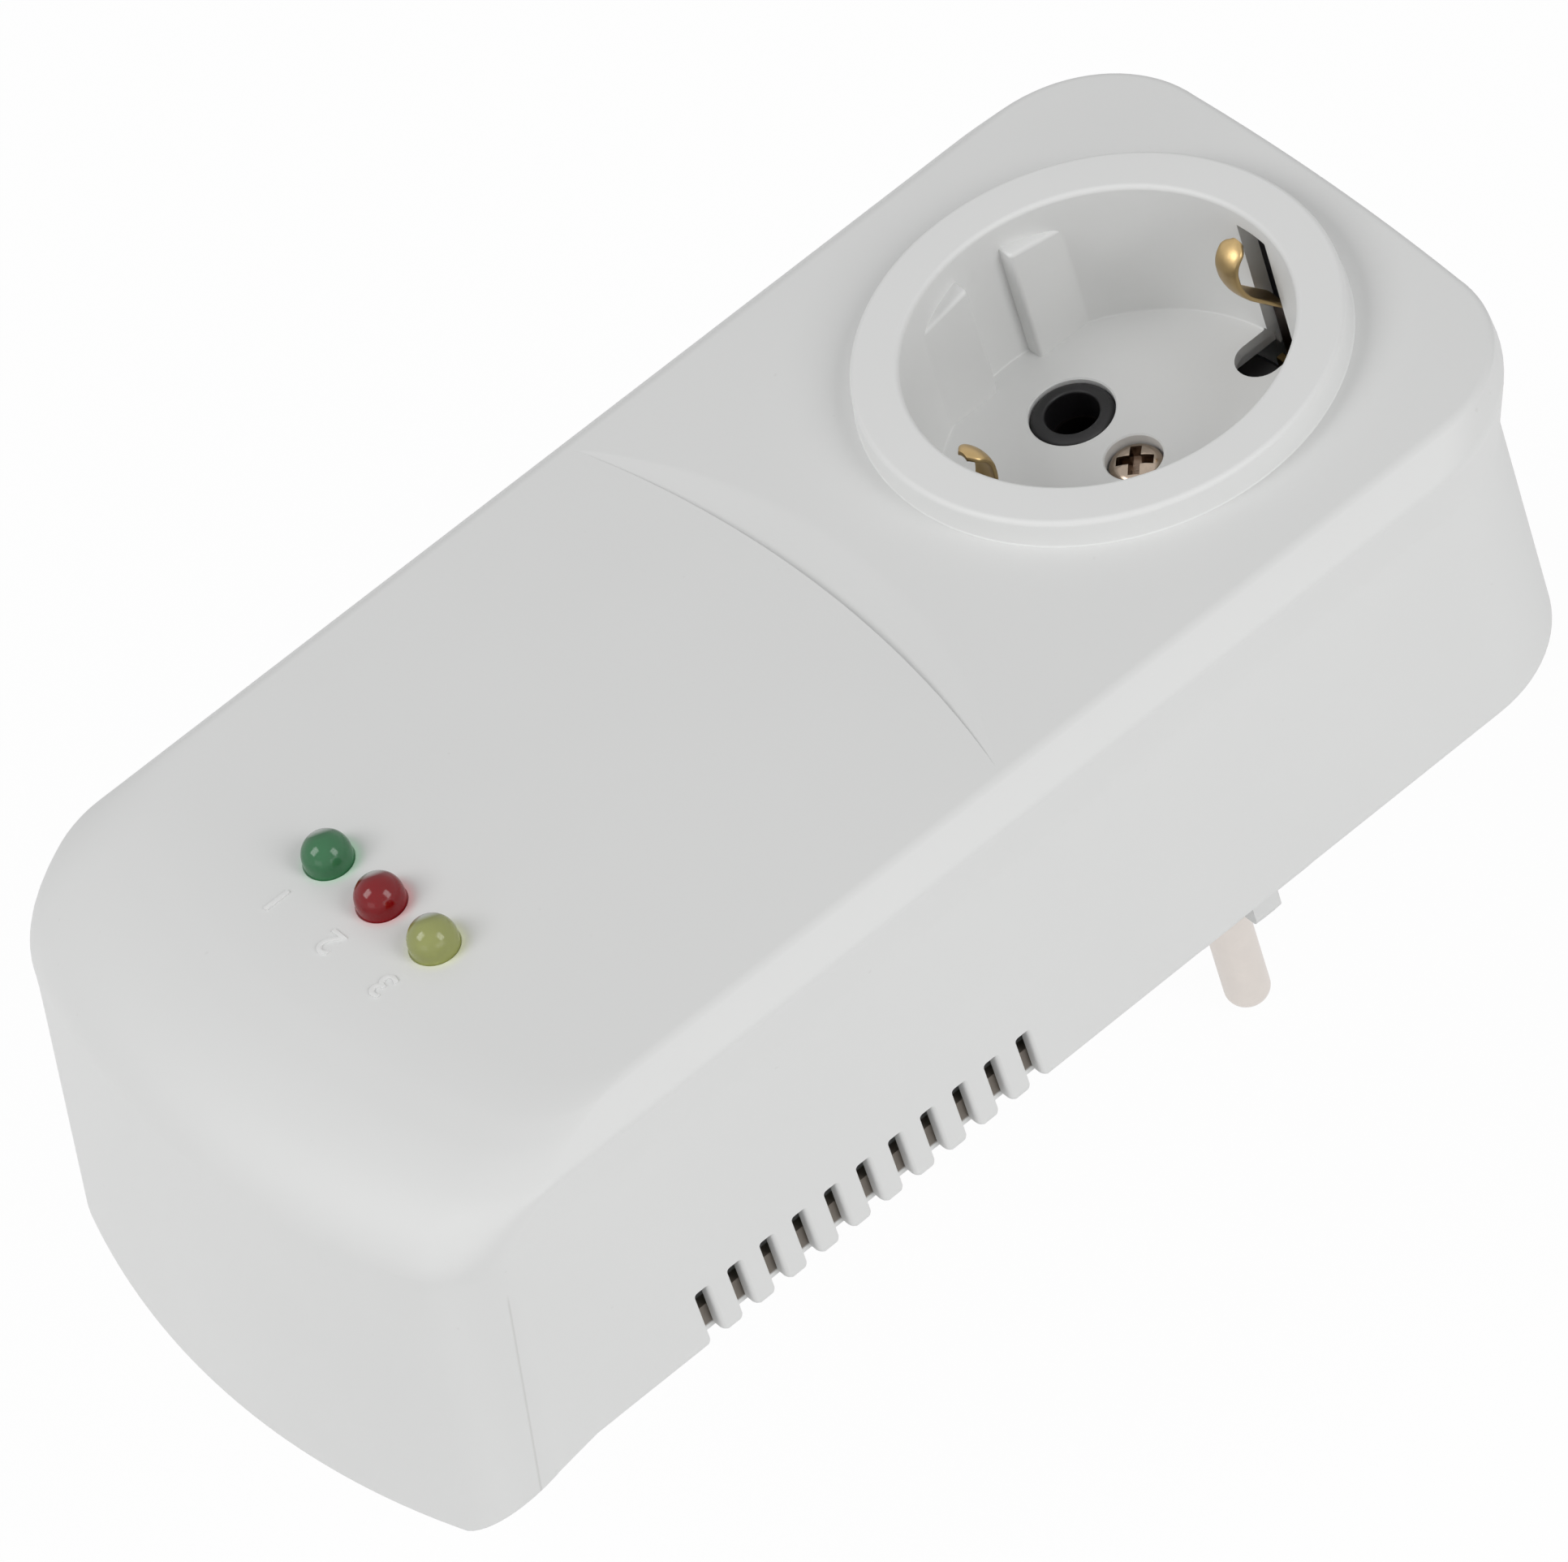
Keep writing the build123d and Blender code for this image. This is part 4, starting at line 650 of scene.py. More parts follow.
class CaseForm:
    """The case's outer form, from the sidebar's sizes and the CAD shell's box."""

    def __init__(self, sizes):
        self.sizes = sizes
        self.top = SHELL_HIGH.z
        self.chin = SHELL_LOW.z
        self.lamp_end = SHELL_LOW.x
        self.socket_end = SHELL_HIGH.x
        self.widest = self.top - sizes.widest_drop
        self.waist = self.top - sizes.waist_drop

    def crest(self, waist, widest, top):
        """The widest place before its edge is eased, so that the eased edge reaches widest."""
        rise = (widest - waist) / (self.widest - self.waist)
        fall = (widest - top) / (self.top - self.widest)
        return widest + EDGE_EASE * rise * fall / (rise + fall)

    def sized(self, z, foot, waist, widest, top):
        """A size at height z, from its values at the chin, the waist, the widest line and the top."""
        knots = [(self.chin, foot), (self.waist, waist), (self.widest, widest), (self.top, top)]
        return eased(z, knots, (WAIST_EASE, EDGE_EASE))

    def half_width(self, z):
        """Half the case's width."""
        s = self.sizes
        crest = self.crest(s.waist_half_width, s.widest_half_width, s.top_half_width)
        return self.sized(z, s.foot_half_width, s.waist_half_width, crest, s.top_half_width)

    def end(self, z):
        """How far the socket end reaches."""
        wall = self.socket_end - self.sizes.end_overhang
        brow = self.socket_end - self.sizes.end_slope
        return self.sized(z, wall, wall, self.crest(wall, self.socket_end, brow), brow)

    def corner(self, z):
        """Corner radius at the socket end."""
        s = self.sizes
        foot = s.socket_corner + s.foot_half_width - s.waist_half_width
        return self.sized(z, foot, s.socket_corner, s.cap_corner, s.top_corner)

    def apex(self, z):
        """Where the lamp end's arc stands at its middle: leaning up to the waist, then in a large curve."""
        s = self.sizes
        waist_x = self.lamp_end + s.lamp_end_lean
        knots = [(self.chin, self.lamp_end), (self.waist, waist_x), (self.top, waist_x)]
        lean = eased(z, knots, (LEAN_EASE,))
        if z <= self.waist:
            return lean
        rise = (z - self.waist) / (self.top - self.waist)
        return lean + s.lamp_end_blend * (1 - math.sqrt(max(0.0, 1 - rise * rise)))

    def outline(self, z, inset=0.0):
        """The case's outline at height z, anticlockwise from the near side's lamp end."""
        s = self.sizes
        side_steps, corner_steps, end_steps, lamp_steps, bow_steps = 26, 20, 28, 14, 40
        half = self.half_width(z) - inset
        end = self.end(z) - inset
        corner = self.corner(z) - inset
        lamp_round = s.lamp_corner - inset
        bow = s.lamp_end_radius - inset
        corner_x = end - s.end_bow - corner
        centre = self.apex(z) + inset + bow
        round_y = half - lamp_round
        round_x = centre - math.sqrt((bow - lamp_round) ** 2 - round_y**2)
        lean = math.degrees(math.atan2(round_y, centre - round_x))
        chord = half - corner
        sweep = (chord**2 + s.end_bow**2) / (2 * s.end_bow)
        run = [step / side_steps for step in range(side_steps)]
        points = [(between(round_x, corner_x, share), -half) for share in run]
        points += arc((corner_x, -chord), corner, -90, 0, corner_steps)[:-1]
        for step in range(end_steps):
            y = between(-chord, chord, step / end_steps)
            points.append((end - sweep + math.sqrt(sweep**2 - y**2), y))
        points += arc((corner_x, chord), corner, 0, 90, corner_steps)[:-1]
        points += [(between(corner_x, round_x, share), half) for share in run]
        points += arc((round_x, round_y), lamp_round, 90, 180 - lean, lamp_steps)[:-1]
        points += arc((centre, 0.0), bow, 180 - lean, 180 + lean, bow_steps)[:-1]
        return points + arc((round_x, -round_y), lamp_round, 180 + lean, 270, lamp_steps)[:-1]

    def edge(self, x):
        """Height of the case's lower edge at x: level along the sides, then down to the chin."""
        s = self.sizes
        run = s.chin_start - s.chin_end
        drop = s.side_edge - self.chin
        ahead = self.lamp_end + s.chin_start - x
        if ahead <= 0:
            return s.side_edge
        if ahead >= run:
            return self.chin
        radius = (run**2 + drop**2) / (2 * drop)
        return s.side_edge - radius + math.sqrt(radius**2 - ahead**2)

    def level(self, z, inset=0.0, height=None):
        """A level ring with the outline of height z, lifted to another height where one is given."""
        lift = z if height is None else height
        return [(x, y, lift) for x, y in self.outline(z, inset)]

    def foot_ring(self, share, inset=0.0, lift=0.0):
        """A ring between the lower edge, at share 0, and a level line a little above it, at share 1."""
        meet = self.sizes.side_edge + 2.2
        guide = self.outline(self.sizes.side_edge, inset)
        heights = [between(self.edge(x) + lift, meet, share) for x, y in guide]
        seen = {}
        ring = []
        for place, z in enumerate(heights):
            key = round(z, 4)
            if key not in seen:
                seen[key] = self.outline(z, inset)
            ring.append((*seen[key][place], z))
        return ring


def case_rings(form):
    """The case's rings, from the ceiling down the inside, round the lower edge and up the outside."""
    s = form.sizes
    wall = s.wall
    rings = [form.level(form.widest + 1.0, wall + 1.2, form.top - wall), form.level(form.widest - 1.0, wall)]
    rings += [form.level(z, wall) for z in (54.0, form.waist, 40.0)]
    rings += [form.foot_ring(share, wall) for share in (1.0, 0.5)]
    # the lower edge, rounded slightly inside and out: how far in from the outside, and how high
    rounded_edge = ((wall, 0.25), (wall - 0.25, 0.0), (0.30, 0.0), (0.09, 0.09), (0.0, 0.30))
    rings += [form.foot_ring(0.0, inset, lift) for inset, lift in rounded_edge]
    rings += [form.foot_ring(share) for share in (0.3, 0.6, 0.8, 1.0)]
    heights = [30.0, 35.0, 40.0, 44.5, 48.0, 49.8]
    heights += [form.waist + gap for gap in (-0.7, -0.35, 0.0, 0.35, 0.7, 1.4)]
    heights += [53.4, 54.4, 55.3, 56.1, 56.7]
    heights += [form.widest + gap for gap in (-0.5, -0.3, -0.1, 0.1, 0.3, 0.5)]
    heights += [58.45, 58.85, 59.2, 59.5]
    rings += [form.level(z) for z in heights]
    # the rounding into the flat top runs along a parabola
    run, steps = s.top_rounding, 7
    fall = run * s.widest_drop / math.hypot(s.widest_drop, s.widest_half_width - s.top_half_width)
    for step in range(1, steps + 1):
        share = step / steps
        rings.append(form.level(form.top - fall * (1 - share) ** 2, run * share**2))
    return rings


def vent_tool(form, centre, side):
    """The tool for one ventilation slot: rounded at its top, flared at its open lower edge and its mouth."""
    s = form.sizes
    half = s.vent_width / 2
    edge = s.side_edge
    top = edge + s.vent_height
    small, flare = 0.5, s.tooth_corner
    right = [(half + flare, edge - 0.9), (half + flare, edge - 0.02)]
    for turn in map(math.radians, (12, 30, 48, 66, 80, 90)):
        right.append((half + flare - flare * math.sin(turn), edge + flare - flare * math.cos(turn)))
    for turn in map(math.radians, (0, 22, 45, 68, 90)):
        right.append((half - small + small * math.cos(turn), top - small + small * math.sin(turn)))
    # the mouth is rounded more on the side that faces the lamp end's light
    soft, crisp = 0.55, 0.15
    rings = []
    for depth in (-1.2, -0.02, 0.02, 0.06, 0.13, 0.22, 0.34, 0.55, s.wall + 2.5):
        opening = []
        for radius in (soft, crisp):
            inside = min(1.0, max(0.0, 1 - depth / radius))
            opening.append(radius * (1 - math.sqrt(1 - inside**2)))
        line = [(x + opening[0], z) for x, z in right] + [(-x - opening[1], z) for x, z in reversed(right)]
        rings.append([(centre + x, side * (form.half_width(z) - depth), z) for x, z in line])
    return loft("vent_tool", rings)


def ramp_tool(form, socket_x):
    """The tool for the shallow ramp in front of the panel's curved edge."""
    s = form.sizes
    apex = socket_x - s.step_apex
    step_centre = apex - s.step_radius
    ramp_centre = apex + s.ramp_run - s.ramp_radius
    slope = s.step_depth / s.ramp_run
    # the ramp ends where its two lines cross
    apart = ramp_centre - step_centre
    crossing = (s.step_radius**2 - s.ramp_radius**2 + apart**2) / (2 * apart)
    reach = math.sqrt(s.step_radius**2 - crossing**2) - 0.05
    steps, parts = 72, 5
    rings = []
    for step in range(steps + 1):
        y = between(-reach, reach, step / steps)
        near = step_centre + math.sqrt(s.step_radius**2 - y * y)
        far = ramp_centre + math.sqrt(s.ramp_radius**2 - y * y)
        ring = []
        for part in range(parts + 1):
            x = between(near, far, part / parts)
            ring.append((x, y, form.top - slope * (s.ramp_radius - math.hypot(x - ramp_centre, y))))
        rings.append(ring + [(far, y, form.top + 0.4), (near, y, form.top + 0.4)])
    return loft("ramp_tool", rings)


class PROTECTOR_OT_case(bpy.types.Operator):
    """Model the case: walls, overhanging cap, chin, ventilation slots and the panel's curved step"""

    bl_idname = "protector.case"
    bl_label = "Case"

    def execute(self, context):
        scene = context.scene
        form = CaseForm(scene.protector_case)
        s = form.sizes
        socket = scene.protector_socket
        colours = scene.protector_colours
        shell = loft("case_shell", case_rings(form))
        tools = [ramp_tool(form, socket.axis_x)]
        first = form.lamp_end + s.vent_run
        for side in (1, -1):
            vents = [vent_tool(form, first + number * s.vent_pitch, side) for number in range(s.vent_count)]
            tools.append(join(vents, "vents_tool"))
        low, high = form.top - s.wall - 1, form.top + 1
        hole, mouth = scene.protector_lamps.hole_radius, 0.12
        profile = [(hole, low), (hole, form.top - mouth), (hole + mouth, form.top), (hole + mouth + 1, high)]
        lamps = [turned("lamp_tool", profile, middle_of(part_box(node)), 64) for node in LAMP_NODES]
        tools.append(join(lamps, "lamps_tool"))
        hole = socket.well_radius + socket.well_wall + 0.1
        tools.append(turned("hole_tool", [(hole, low), (hole, high)], (socket.axis_x, 0), 128))
        cut(shell, tools)
        smooth(shell, 28.0)
        # painted light: pale tints of the lamps' colours, laid on the case beside each lamp
        glows = []
        for node, glow in zip(LAMP_NODES, (colours.green, colours.red, colours.yellow)):
            x, y = middle_of(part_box(node))
            pale = tuple(0.42 + 0.58 * part / max(glow) for part in glow)
            glows.append((x + 0.25, y - 0.2, pale))
        plastic = moulded_plastic("case_plastic", colours.case, seam=True, glows=glows)
        finish_piece(shell, "case", ["top_shell"], plastic)
        if len(shell.data.polygons) < 1000:
            raise RuntimeError("the case lost its faces")
        return {"FINISHED"}


# Socket

def recess_mouth(rim, floor):
    """The upper end of a recess's profile: a slightly rounded edge, flared on above the floor."""
    return [(rim, floor - 0.15), (rim + 0.15, floor), (rim + 0.9, floor + 0.75)]


class PROTECTOR_OT_socket(bpy.types.Operator):
    """Model the socket insert: ring, well, guide blocks, slots and recesses"""

    bl_idname = "protector.socket"
    bl_label = "Socket Insert"

    def execute(self, context):
        scene = context.scene
        s = scene.protector_socket
        case_top = SHELL_HIGH.z
        top = case_top + s.ring_height
        floor = top - s.well_depth
        under = floor - s.floor
        tool_foot = under - 1
        centre = (s.axis_x, 0.0)
        cup = s.well_radius + s.well_wall
        outer_edge, inner_edge, floor_edge = 0.6, 0.55, 0.2
        profile = [(cup - 0.4, under), (cup, under + 0.4), (cup, case_top + 0.01)]
        profile += [(s.ring_radius + 0.16, case_top + 0.01), (s.ring_radius + 0.05, case_top + 0.14)]
        profile += arc((s.ring_radius - 0.12 - outer_edge, top - outer_edge), outer_edge, 0, 90, 7)
        profile += arc((s.well_radius + inner_edge, top - inner_edge), inner_edge, 90, 180, 7)
        profile += [(s.well_radius, top - 4.0), (s.well_radius, top - 10.0)]
        profile += arc((s.well_radius - floor_edge, floor + floor_edge), floor_edge, 0, -90, 3)
        profile += [(s.well_radius - 4.0, floor)]
        insert = turned("socket_moulding", profile, centre, 192)
        guides = []
        line = [(s.guide_inner, floor - 1.0), (s.guide_outer, floor - 1.0)]
        line += [(s.guide_outer, top - s.guide_outer_drop), (s.guide_inner, top - s.guide_drop)]
        for side in (1, -1):
            for end in (1, -1):
                outline = [(s.axis_x + end * x, z) for x, z in line]
                guide = prism("guide", outline, side * s.guide_face, side * (s.well_radius + 0.9))
                bevel(guide, 0.45, 3)
                guides.append(guide)
        cut(insert, [join(guides, "guides")], "UNION")
        reach = s.clip_leg + 1.5
        wide, floor_wide = s.slot_half_width, s.floor_slot_half_width
        line = [(reach + 0.01, -floor_wide), (reach + 0.01, floor_wide)]
        line += arc((s.floor_slot_inner + floor_wide, 0.0), floor_wide, 90, 270, 16)
        tools = []
        for side in (1, -1):
            low_x, high_x = sorted((s.axis_x + side * (s.well_radius - 1.2), s.axis_x + side * reach))
            tools.append(block("wall_slot", (low_x, -wide, floor - 0.1), (high_x, wide, top - s.slot_drop)))
            outline = [(s.axis_x + side * x, y) for x, y in line]
            tools.append(prism("floor_slot", outline, tool_foot, floor + 0.3, "Z"))
            # the floor is thinner round the slot, from below
            wider = [(x - side * 1.5, y * 1.3) for x, y in outline]
            tools.append(prism("floor_relief", wider, tool_foot, floor - 1.2, "Z"))
        rim = s.collar_radius + 0.1
        for side in (1, -1):
            profile = [(rim, tool_foot)] + recess_mouth(rim, floor)
            tools.append(turned("collar_tool", profile, (s.axis_x, side * s.half_spacing), 96))
        screw_hole, seat = 1.6, floor - s.recess_depth
        profile = [(screw_hole, tool_foot), (screw_hole, seat), (s.recess_radius, seat)]
        tools.append(turned("recess_tool", profile + recess_mouth(s.recess_radius, floor), centre, 96))
        cut(insert, tools)
        smooth(insert, 30.0)
        # painted light: the insert is a lighter copy of the case's colour, so that its shaded well comes out
        # brighter
        plastic = moulded_plastic("socket_plastic", tint(scene.protector_colours.case, 0.045), 0.52, 0.004)
        finish_piece(insert, "case", ["socket_insert"], plastic)
        return {"FINISHED"}


class PROTECTOR_OT_contacts(bpy.types.Operator):
    """Model the black contact block with its two collars"""

    bl_idname = "protector.contacts"
    bl_label = "Contacts"

    def execute(self, context):
        scene = context.scene
        s = scene.protector_socket
        low, high = in_mm(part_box("contact_block"))
        upper = SHELL_HIGH.z + s.ring_height - s.well_depth - s.floor
        wide = (high.x - low.x) / 2
        chamfer, outer_edge, inner_edge = 0.5, 0.75, 0.3
        sleeve_bore, screw_bore = 3.35, 1.55
        profile = [(wide - chamfer, low.z), (wide, low.z + chamfer)]
        profile += [(wide, upper - chamfer), (wide - chamfer, upper)]
        body = turned("contact_moulding", profile, (s.axis_x, 0), 96)
        collars = []
        for side in (1, -1):
            profile = [(s.collar_radius, upper - 0.5)]
            profile += arc((s.collar_radius - outer_edge, high.z - outer_edge), outer_edge, 0, 80, 8)
            profile += arc((s.hole_radius + inner_edge, high.z - inner_edge), inner_edge, 90, 180, 5)
            profile += [(s.hole_radius, high.z - 1.0)]
            collars.append(turned("collar", profile, (s.axis_x, side * s.half_spacing), 96))
        cut(body, [join(collars, "collars")], "UNION")
        tools = []
        for side in (1, -1):
            profile = [(sleeve_bore, low.z - 1), (sleeve_bore, upper - 0.5)]
            profile += [(s.hole_radius, upper - 0.5), (s.hole_radius, high.z - 0.6)]
            tools.append(turned("bore_tool", profile, (s.axis_x, side * s.half_spacing), 96))
        profile = [(screw_bore, low.z - 1), (screw_bore, upper + 1)]
        tools.append(turned("screw_tool", profile, (s.axis_x, 0), 48))
        cut(body, tools)
        smooth(body, 30.0)
        black = moulded_plastic("contact_plastic", scene.protector_colours.contact_black, 0.45, 0.003)
        finish_piece(body, "case", ["contact_block"], black)
        return {"FINISHED"}


def strip_path(leg_x, foot):
    """Centre line of an earth clip's strip: places (x, z), in millimetres, and headings."""
    spot = Vector((leg_x, foot))
    heading = math.pi / 2
    places = [(spot.copy(), heading)]
    # a length and no bend for each straight run, a radius and a bend in degrees for each curve, and the steps
    moves = ((10.6, 0, 6), (3.0, 42, 6), (4.55, 0, 6), (5.0, -42, 8), (0.6, 0, 2), (2.7, -80, 17))
    for size, bend, steps in moves:
        part = math.radians(bend) / steps
        chord = 2 * size * math.sin(abs(part) / 2) if bend else size / steps
        for _ in range(steps):
            middle = heading + part / 2
            spot = spot + Vector((math.cos(middle), math.sin(middle))) * chord
            heading += part
            places.append((spot.copy(), heading))
    return places


class PROTECTOR_OT_clips(bpy.types.Operator):
    """Model the two bowed brass earth clips"""

    bl_idname = "protector.clips"
    bl_label = "Earth Clips"

    def execute(self, context):
        scene = context.scene
        s = scene.protector_socket
        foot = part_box("earth_clip_right")[0].z / MM + 0.25
        # painted shade: the leg turns near black below this height, where it stands in the slot's shadow
        dark_from = (foot + 13.0, 2.5, (0.045, 0.028, 0.020))
        brass = metal("clip_brass", scene.protector_colours.brass, 0.36, 0.22, (1.0, 6.0, 1.0), dark_from)
        half_wide, half_thick, crown = 1.7, 0.25, 0.30
        flat = half_wide - 0.2
        section = [(between(-flat, flat, step / 8), -half_thick) for step in range(9)]
        lip = half_wide - 0.05
        section += [(lip, 0.06 - half_thick), (half_wide, 0.0), (lip, half_thick - 0.06)]
        section += [(-y, -thick) for y, thick in section]
        path = strip_path(s.clip_leg, foot)
        for side, body, node in ((1, "right_clip", "earth_clip_right"), (-1, "left_clip", "earth_clip_left")):
            rings = []
            for number, (spot, heading) in enumerate(path):
                # the strip is flat in its leg and bowed across its width at the crown
                share = min(1.0, max(0.0, (number - 14) / 8))
                normal = Vector((math.sin(heading), -math.cos(heading)))
                # the free end is rounded, as on a spoon
                ahead = (len(path) - 1 - number) / 6
                tip = math.sqrt(max(0.2, 1 - (1 - ahead) ** 2)) if ahead < 1 else 1.0
                narrow = (1.0 - 0.06 * share) * tip
                ring = []
                for y, thick in section:
                    bow = crown * share * ((y / half_wide) ** 2 - 0.35)
                    place = spot + normal * (thick + bow)
                    ring.append((s.axis_x + side * place.x, y * narrow, place.y))
                rings.append(ring)
            clip = loft(node + "_strip", rings)
            bevel(clip, 0.05, 2, 50.0)
            smooth(clip, 40.0)
            finish_piece(clip, body, [node], brass)
        return {"FINISHED"}


class PROTECTOR_OT_screw(bpy.types.Operator):
    """Model the cross-head screw in the well's floor"""

    bl_idname = "protector.screw"
    bl_label = "Socket Screw"

    def execute(self, context):
        centre = (context.scene.protector_socket.axis_x, 0.0)
        low, high = in_mm(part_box("socket_screw"))
        radius = (high.x - low.x) / 2
        top = high.z
        seat = top - 1.52
        arm_reach, arm_half_width = 1.85, 0.56
        profile = [(1.2, low.z), (1.5, low.z + 0.5), (1.5, seat)]
        profile += [(radius - 0.15, seat), (radius, seat + 0.15), (radius, top - 1.0)]
        profile += [(2.68, top - 0.68), (2.38, top - 0.36), (1.9, top - 0.15), (1.3, top - 0.04), (0.6, top)]
        screw = turned("socket_screw_head", profile, centre, 72)
        arms = []
        for turn in (math.radians(45), math.radians(135)):
            rings = []
            for z, grow in ((top - 1.3, -0.26), (top - 0.45, 0.0), (top + 0.4, 0.10)):
                ring = []
                for along, across in ((-1, -1), (1, -1), (1, 1), (-1, 1)):
                    a, c = along * (arm_reach + grow), across * (arm_half_width + grow * 0.5)
                    x = centre[0] + a * math.cos(turn) - c * math.sin(turn)
                    ring.append((x, a * math.sin(turn) + c * math.cos(turn), z))
                rings.append(ring)
            arms.append(loft("cross_tool", rings))
        cut(screw, arms)
        bevel(screw, 0.11, 3, 45.0)
        smooth(screw, 35.0)
        # the head turns dark brown below this height, in the cross's arms and down its side
        dark_from = (top - 0.6, 0.5, (0.20, 0.145, 0.11))
        zinc = metal("screw_zinc", (0.40, 0.325, 0.26), 0.20, 0.45, darken_below=dark_from)
        finish_piece(screw, "case", ["socket_screw"], zinc)
        return {"FINISHED"}


# Lamps

class PROTECTOR_OT_lamps(bpy.types.Operator):
    """Model the three resin lamps with the metal frame inside each"""

    bl_idname = "protector.lamps"
    bl_label = "Lamps"

    def execute(self, context):
        scene = context.scene
        s = scene.protector_lamps
        colours = scene.protector_colours
        steel = metal("lead_frame_metal", (0.60, 0.60, 0.58), 0.35)
        for node, base in zip(LAMP_NODES, (colours.green, colours.red, colours.yellow)):
            low, high = in_mm(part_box(node))
            x, y = middle_of(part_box(node))
            foot = low.z
            dome = high.z - s.radius
            profile = [(s.flange - 0.15, foot), (s.flange, foot + 0.15), (s.flange, foot + 0.85)]
            profile += [(s.flange - 0.15, foot + 1.0), (s.radius + 0.05, foot + 1.0), (s.radius, foot + 1.1)]
            profile += [(s.radius, between(foot + 1.1, dome, share)) for share in (0.35, 0.7)]
            profile += arc((0.0, dome), s.radius, 0, 88, 26)
            lamp = turned(node + "_resin", profile, (x, y), 72)
            pick(lamp)
            bpy.ops.object.shade_smooth_by_angle(angle=math.radians(40.0))
            colour_name = node.split("_")[1]
            resin = lamp_resin(colour_name + "_lamp_resin", base, (x, y, dome), s.radius)
            finish_piece(lamp, "case", [node], resin)
            # the two posts of the lead frame: a broad one with the reflector cup and a slim one
            profile = [(0.45, foot + 0.3), (0.55, foot + 2.6), (1.05, foot + 3.4), (1.05, foot + 4.0)]
            broad = turned("cup", profile, (x - 0.75, y), 32)
            cut(broad, [turned("cup_tool", [(0.35, foot + 3.3), (0.9, foot + 4.3)], (x - 0.75, y), 32)])
            slim = block("post", (x + 0.75, y - 0.35, foot + 0.3), (x + 1.35, y + 0.35, foot + 3.7))
            inner = join([broad, slim], node + "_lead_frame")
            bevel(inner, 0.05, 2)
            smooth(inner, 35.0)
            finish_piece(inner, "case", [], steel)
        return {"FINISHED"}


class PROTECTOR_OT_marks(bpy.types.Operator):
    """Model the small raised numbers beside the lamps"""

    bl_idname = "protector.marks"
    bl_label = "Lamp Numbers"

    def execute(self, context):
        scene = context.scene
        plastic = moulded_plastic("mark_plastic", tint(scene.protector_colours.case, 0.05), 0.36)
        for number, node in enumerate(LAMP_NODES):
            low, high = in_mm(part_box(node))
            clear_selection()
            bpy.ops.object.text_add()
            text = bpy.context.object
            text.data.body = str(number + 1)
            text.data.size = scene.protector_lamps.mark_size * 1.35 * MM
            text.data.extrude = 0.09 * MM
            text.data.bevel_depth = 0.03 * MM
            text.data.bevel_resolution = 1
            text.data.align_x = "CENTER"
            text.data.align_y = "CENTER"
            pick(text)
            bpy.ops.object.convert(target="MESH")
            merge_doubles(text)
            place = Vector((low.x - 3.4, (low.y + high.y) / 2, SHELL_HIGH.z + 0.06)) * MM
            text.data.transform(Matrix.Translation(place) @ Matrix.Rotation(math.pi / 2, 4, "Z"))
            text.name = "lamp_number_" + str(number + 1)
            smooth(text, 30.0)
            finish_piece(text, "case", [], plastic)
        return {"FINISHED"}


# Base and plug

def shift_vertices(obj, chosen, move):
    """Moves the vertices for whose place chosen holds. Both work in millimetres."""
    pick(obj)
    bpy.ops.object.mode_set(mode="EDIT")
    bpy.ops.mesh.select_all(action="DESELECT")
    bpy.ops.object.mode_set(mode="OBJECT")
    for vertex in obj.data.vertices:
        vertex.select = chosen(vertex.co / MM)
    bpy.ops.object.mode_set(mode="EDIT")
    bpy.ops.transform.translate(value=Vector(move) * MM)
    bpy.ops.object.mode_set(mode="OBJECT")


def settle_rim(cover, sizes):
    """Brings the plate's long rims out to the case's walls and its underside down to the walls' edge."""
    rim = -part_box("base_cover")[0].y / MM
    under = sizes.side_edge + sizes.base_recess
    for side in (1, -1):
        shift_vertices(cover, lambda place: side * place.y > rim - 0.6, (0.0, side * RIM_OUT, 0.0))
    shift_vertices(cover, lambda place: abs(place.z - under) < 0.05, (0.0, 0.0, 0.05 - sizes.base_recess))


class PROTECTOR_OT_base(bpy.types.Operator):
    """Round the edges of the base cover and its plug boss, and bring its rims out to the slots"""

    bl_idname = "protector.base"
    bl_label = "Base Cover"

    def execute(self, context):
        scene = context.scene
        sizes = scene.protector_case
        cover = copy_node("base_cover", "base_moulding")
        settle_rim(cover, sizes)
        bevel(cover, 0.25, 2, 40.0)
        smooth(cover, 35.0)
        # painted shade on the plate's rims, seen through the ventilation slots
        painted_rim_shade = (sizes.foot_half_width - 3.2, sizes.side_edge + 0.5)
        plastic = moulded_plastic("base_plastic", tint(scene.protector_colours.case, 0.01), 0.46, painted_rim_shade=painted_rim_shade)
        finish_piece(cover, "case", ["base_cover"], plastic)
        return {"FINISHED"}


class PROTECTOR_OT_plug(bpy.types.Operator):
    """Model the plug's round-ended pins"""

    bl_idname = "protector.plug"
    bl_label = "Plug Pins"

    def execute(self, context):
        scene = context.scene
        low, high = in_mm(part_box("plug_pins"))
        radius, shank, shoulder, tail, end_round = 2.4, 2.3, 3.5, 1.5, 1.8
        pins = []
        for side in (1, -1):
            profile = arc((radius - end_round, low.z + end_round), end_round, -90, 0, 10)
            profile += [(radius, 0.0), (shank, 0.05), (shank, 3.0), (shoulder - 0.15, 3.0), (shoulder, 3.15)]
            profile += [(shoulder, 4.05), (shoulder - 0.15, 4.2), (shank, 4.2), (shank, high.z - 2.6)]
            profile += [(shank - 0.1, high.z - 2.5), (tail, high.z - 2.5)]
            profile += [(tail, high.z - 0.2), (tail - 0.2, high.z)]
            pins.append(turned("pin", profile, (0.0, side * scene.protector_socket.half_spacing), 64))
        pair = join(pins, "plug_pin_pair")
        smooth(pair, 35.0)
        nickel = metal("pin_nickel", scene.protector_colours.pin_metal, 0.36, 0.06, (1.0, 1.0, 5.0))
        finish_piece(pair, "case", ["plug_pins"], nickel)
        return {"FINISHED"}


